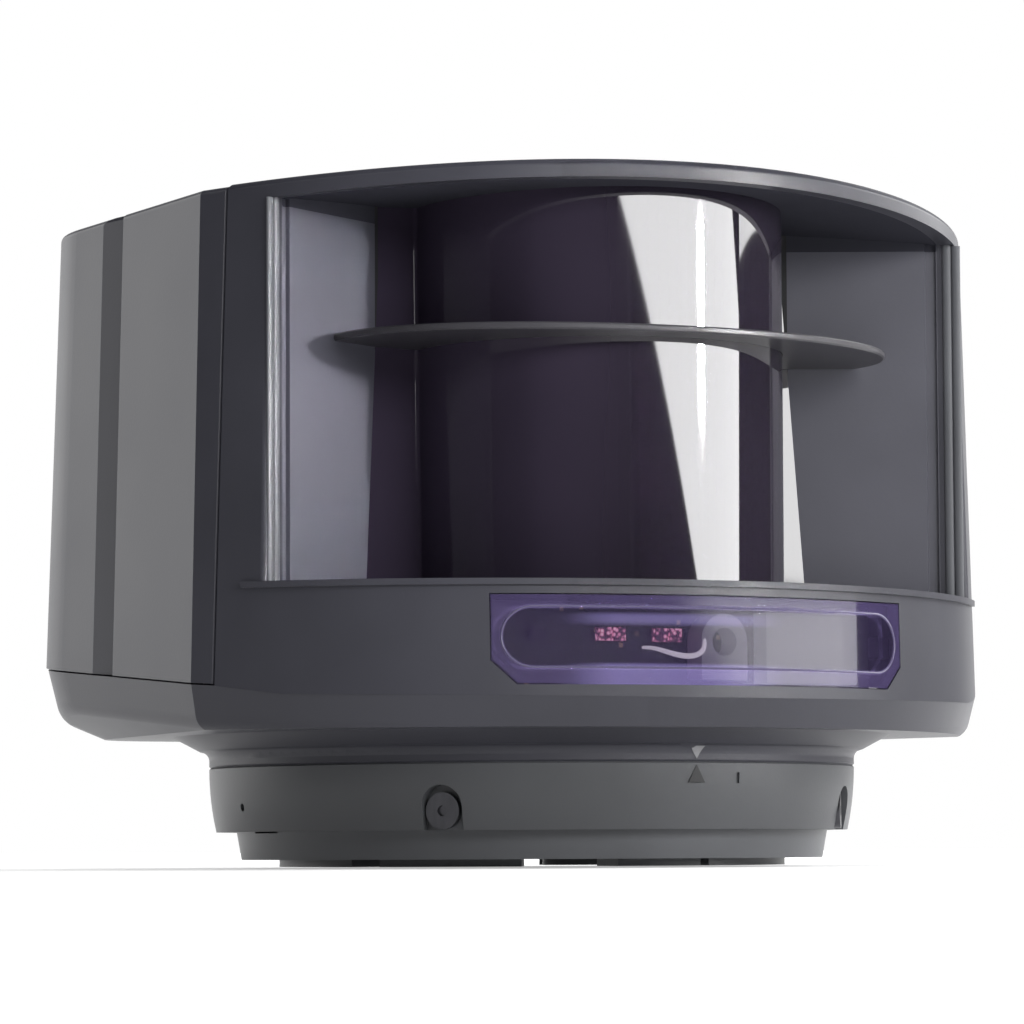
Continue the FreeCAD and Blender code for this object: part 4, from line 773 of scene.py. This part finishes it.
class SENSOR_OT_index_inlays(bpy.types.Operator):
    """Pointed index marks: a pale one on the collar, painted light of its notch's lit floor, and a dark one
    on the ring, painted shade in its notch
    """

    bl_idname = "sensor.index_inlays"
    bl_label = "Index inlays"

    def execute(self, context):
        # painted light and shade: the pale collar mark stands for the lit floor of its notch, the dark ring
        # mark for the shade in its notch
        pale = moulded("collar_mark_painted_reflection", (0.25, 0.25, 0.26), 0.5, 0.3, 0.3)
        dark = moulded("ring_mark_painted_shade", (0.030, 0.030, 0.032), 0.5, 0.3, 0.3)
        upper = self.inlay(*COLLAR_MARK)
        lower = self.inlay(*RING_MARK)
        build_piece("collar_mark", [upper], pale, "head")
        build_piece("ring_mark", [lower], dark, "bracket_ring")
        return {"FINISHED"}

    def inlay(self, half, foot, tip):
        """Triangle wrapped on the collar: rows from foot to tip narrow to a point, and each row is a
        flat loop from inside the wall to a little outside it. The wall flares above the collar."""
        rise = np.linspace(0.0, 1.0, 14)[:, None]
        level = foot + (tip - foot) * rise
        width = half * (1.0 - 0.97 * rise)
        row = np.linspace(-1.0, 1.0, 9)
        across = np.concatenate([row, row[::-1]])[None] * width
        flare = np.clip(level - FLARE_Z, 0.0, FLARE_RISE)
        wall = COLLAR + FLARE_ROUND - np.sqrt(FLARE_ROUND ** 2 - flare ** 2)
        radius = wall + np.repeat([MARK_PROUD, -MARK_DEPTH], len(row))[None]
        y = -np.sqrt(radius ** 2 - across ** 2)
        return shell(np.stack([across, y, level + 0.0 * across], axis=-1))


class SENSOR_OT_studio(bpy.types.Operator):
    """Pale floor, even room light, softboxes, a dark screen and the camera"""

    bl_idname = "sensor.studio"
    bl_label = "Studio"

    def execute(self, context):
        studio = context.scene.sensor_studio
        context.scene.view_settings.view_transform = "Standard"
        self.camera(context.scene, studio)
        self.room(context.scene, studio.ambient)
        self.floor()
        for row in SOFTBOXES:
            self.softbox(LAMP_AIM, *row)
        recess_lamp = self.softbox(RECESS_AIM, *RECESS_LAMP)
        recess_lamp.data.spread = RECESS_SPREAD
        self.screen("dark_screen", *SCREEN_ARC)
        return {"FINISHED"}

    def camera(self, scene, studio):
        """Camera from its heading, pitch and roll, with no shift."""
        ahead = Vector((-math.sin(studio.heading), math.cos(studio.heading), 0.0))
        right = Vector((math.cos(studio.heading), math.sin(studio.heading), 0.0))
        look = ahead * math.cos(studio.pitch) + Vector((0.0, 0.0, math.sin(studio.pitch)))
        up = right.cross(look)
        across = right * math.cos(studio.roll) + up * math.sin(studio.roll)
        over = up * math.cos(studio.roll) - right * math.sin(studio.roll)
        camera = bpy.data.objects.new("camera", bpy.data.cameras.new("camera"))
        camera.data.lens = studio.lens
        camera.data.sensor_width = 36.0
        camera.data.clip_start = 0.02
        camera.data.clip_end = 50.0
        turn = Matrix((across, over, -look)).transposed().to_4x4()
        camera.matrix_world = Matrix.Translation(studio.camera_place) @ turn
        scene.collection.objects.link(camera)
        scene.camera = camera

    def room(self, scene, level):
        """White to the camera and in reflections, and an even lower light on the surfaces."""
        world = bpy.data.worlds.new("room")
        world.use_nodes = True
        tree = world.node_tree
        tree.nodes.clear()
        plain = add(tree, "Background", Color=WHITE, Strength=level)
        bright = add(tree, "Background", Color=WHITE, Strength=1.0)
        mix = add(tree, "MixShader", Fac=self.shown_rays(tree))
        tree.links.new(plain.outputs[0], mix.inputs[1])
        tree.links.new(bright.outputs[0], mix.inputs[2])
        add(tree, "OutputWorld", Surface=mix.outputs[0])
        scene.world = world

    def shown_rays(self, tree):
        """One for rays from the camera, from reflections and through clear pieces, else zero."""
        rays = add(tree, "LightPath")
        seen = rays.outputs["Is Camera Ray"]
        for name in ("Is Glossy Ray", "Is Transmission Ray"):
            seen = calc(tree, "MAXIMUM", seen, rays.outputs[name])
        return seen

    def floor(self):
        """Wide disc under the feet: rows of rings, pale, with a little light of its own in the rays that are
        shown, which fades towards the object as a painted shadow."""
        ring = np.linspace(0.0, 2.0 * np.pi, 96, endpoint=False)
        x = FLOOR_RINGS[:, None] * np.cos(ring)
        y = FLOOR_RINGS[:, None] * np.sin(ring)
        points, faces, caps = shell(np.stack([x, y, np.full_like(x, FLOOR_Z)], axis=-1))
        mesh = bpy.data.meshes.new("floor")
        mesh.from_pydata(points, [], faces.tolist() + [caps[0].tolist()])
        mesh.validate()
        material, tree, shader, place = finish("pale_floor", Roughness=0.7, Specular_IOR_Level=0.1)
        tone = add(tree, "TexNoise", Vector=place, Scale=6.0, Detail=2.0).outputs[0]
        join(tree, ramp(tree, tone, ((0.3, (0.86, 0.86, 0.86, 1.0)), (0.7, (0.89, 0.89, 0.89, 1.0)))),
             shader.inputs["Base Color"])
        # painted shadow: the floor's own light is lower near the object than far from it
        level = span(tree, length(tree, place), *FLOOR_GLOW, *FLOOR_SHADOW_FADE)
        glow = add(tree, "Emission", Color=WHITE, Strength=level)
        dim = add(tree, "Emission", Color=WHITE, Strength=0.0)
        lit = add(tree, "MixShader", Fac=self.shown_rays(tree))
        tree.links.new(dim.outputs[0], lit.inputs[1])
        tree.links.new(glow.outputs[0], lit.inputs[2])
        both = tree.nodes.new("ShaderNodeAddShader")
        tree.links.new(shader.outputs[0], both.inputs[0])
        tree.links.new(lit.outputs[0], both.inputs[1])
        output = next(node for node in tree.nodes if node.bl_idname == "ShaderNodeOutputMaterial")
        tree.links.new(both.outputs[0], output.inputs["Surface"])
        mesh.materials.append(material)
        floor = bpy.data.objects.new("floor", mesh)
        bpy.context.scene.collection.objects.link(floor)

    def softbox(self, aim, name, azimuth, elevation, distance, width, height, radiance, roll):
        """Area lamp at an azimuth from the front and an elevation, facing its aim, rolled about its
        axis."""
        turn, lift = math.radians(azimuth), math.radians(elevation)
        away = Vector((math.sin(turn) * math.cos(lift), -math.cos(turn) * math.cos(lift), math.sin(lift)))
        lamp = bpy.data.lights.new(name, "AREA")
        lamp.shape = "RECTANGLE"
        lamp.size = width
        lamp.size_y = height
        lamp.energy = radiance * math.pi * width * height
        holder = bpy.data.objects.new(name, lamp)
        facing = away.to_track_quat("Z", "Y").to_matrix().to_4x4()
        place = Matrix.Translation(Vector(aim) + away * distance)
        holder.matrix_world = place @ facing @ Matrix.Rotation(math.radians(roll), 4, "Z")
        holder.visible_camera = False
        bpy.context.scene.collection.objects.link(holder)
        return holder

    def screen(self, name, start_deg, end_deg):
        """Dark card about the object, a stretch of an upright tube, to be mirrored in it. The camera doesn't
        see it and it casts no shadow."""
        level, turn = np.meshgrid(np.linspace(0.0, SCREEN_HEIGHT, 5),
                                  np.radians(np.linspace(start_deg, end_deg, 40)), indexing="ij")
        points = np.stack([SCREEN_RADIUS * np.sin(turn), -SCREEN_RADIUS * np.cos(turn), level], axis=-1)
        index = np.arange(level.size).reshape(level.shape)
        quads = np.stack([index[:-1, :-1], index[:-1, 1:], index[1:, 1:], index[1:, :-1]], axis=-1)
        mesh = bpy.data.meshes.new(name)
        mesh.from_pydata(points.reshape(-1, 3), [], quads.reshape(-1, 4).tolist())
        mesh.materials.append(moulded("screen_cloth", (0.02, 0.02, 0.02), 0.9, 2.0, 0.2))
        card = bpy.data.objects.new(name, mesh)
        card.visible_camera = False
        card.visible_shadow = False
        bpy.context.scene.collection.objects.link(card)


PIECES = (
    SENSOR_OT_housing, SENSOR_OT_bracket, SENSOR_OT_window, SENSOR_OT_indicator, SENSOR_OT_optics,
    SENSOR_OT_post_ridges, SENSOR_OT_panel_line, SENSOR_OT_light_pipe, SENSOR_OT_index_inlays,
    SENSOR_OT_studio,
)


class SENSOR_PT_pieces(bpy.types.Panel):
    """Lists the finishes, the fitted pieces and the studio"""

    bl_idname = "SENSOR_PT_pieces"
    bl_label = "Laser presence sensor"
    bl_space_type = "VIEW_3D"
    bl_region_type = "UI"
    bl_category = "Sensor"

    def draw(self, context):
        for kind in PIECES:
            self.layout.operator(kind.bl_idname)


CLASSES = (SensorFinishes, SensorFittings, SensorStudio) + PIECES + (SENSOR_PT_pieces,)


def register():
    """Registers the classes and hangs the property groups on the scene."""
    for kind in CLASSES:
        bpy.utils.register_class(kind)
    bpy.types.Scene.sensor_finishes = bpy.props.PointerProperty(type=SensorFinishes)
    bpy.types.Scene.sensor_fittings = bpy.props.PointerProperty(type=SensorFittings)
    bpy.types.Scene.sensor_studio = bpy.props.PointerProperty(type=SensorStudio)


def unregister():
    """Takes the property groups and the classes away again."""
    del bpy.types.Scene.sensor_studio
    del bpy.types.Scene.sensor_fittings
    del bpy.types.Scene.sensor_finishes
    for kind in reversed(CLASSES):
        bpy.utils.unregister_class(kind)


def main():
    """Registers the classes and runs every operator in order."""
    register()
    for kind in PIECES:
        group, action = kind.bl_idname.split(".")
        getattr(getattr(bpy.ops, group), action)()


if __name__ == "__main__":
    main()
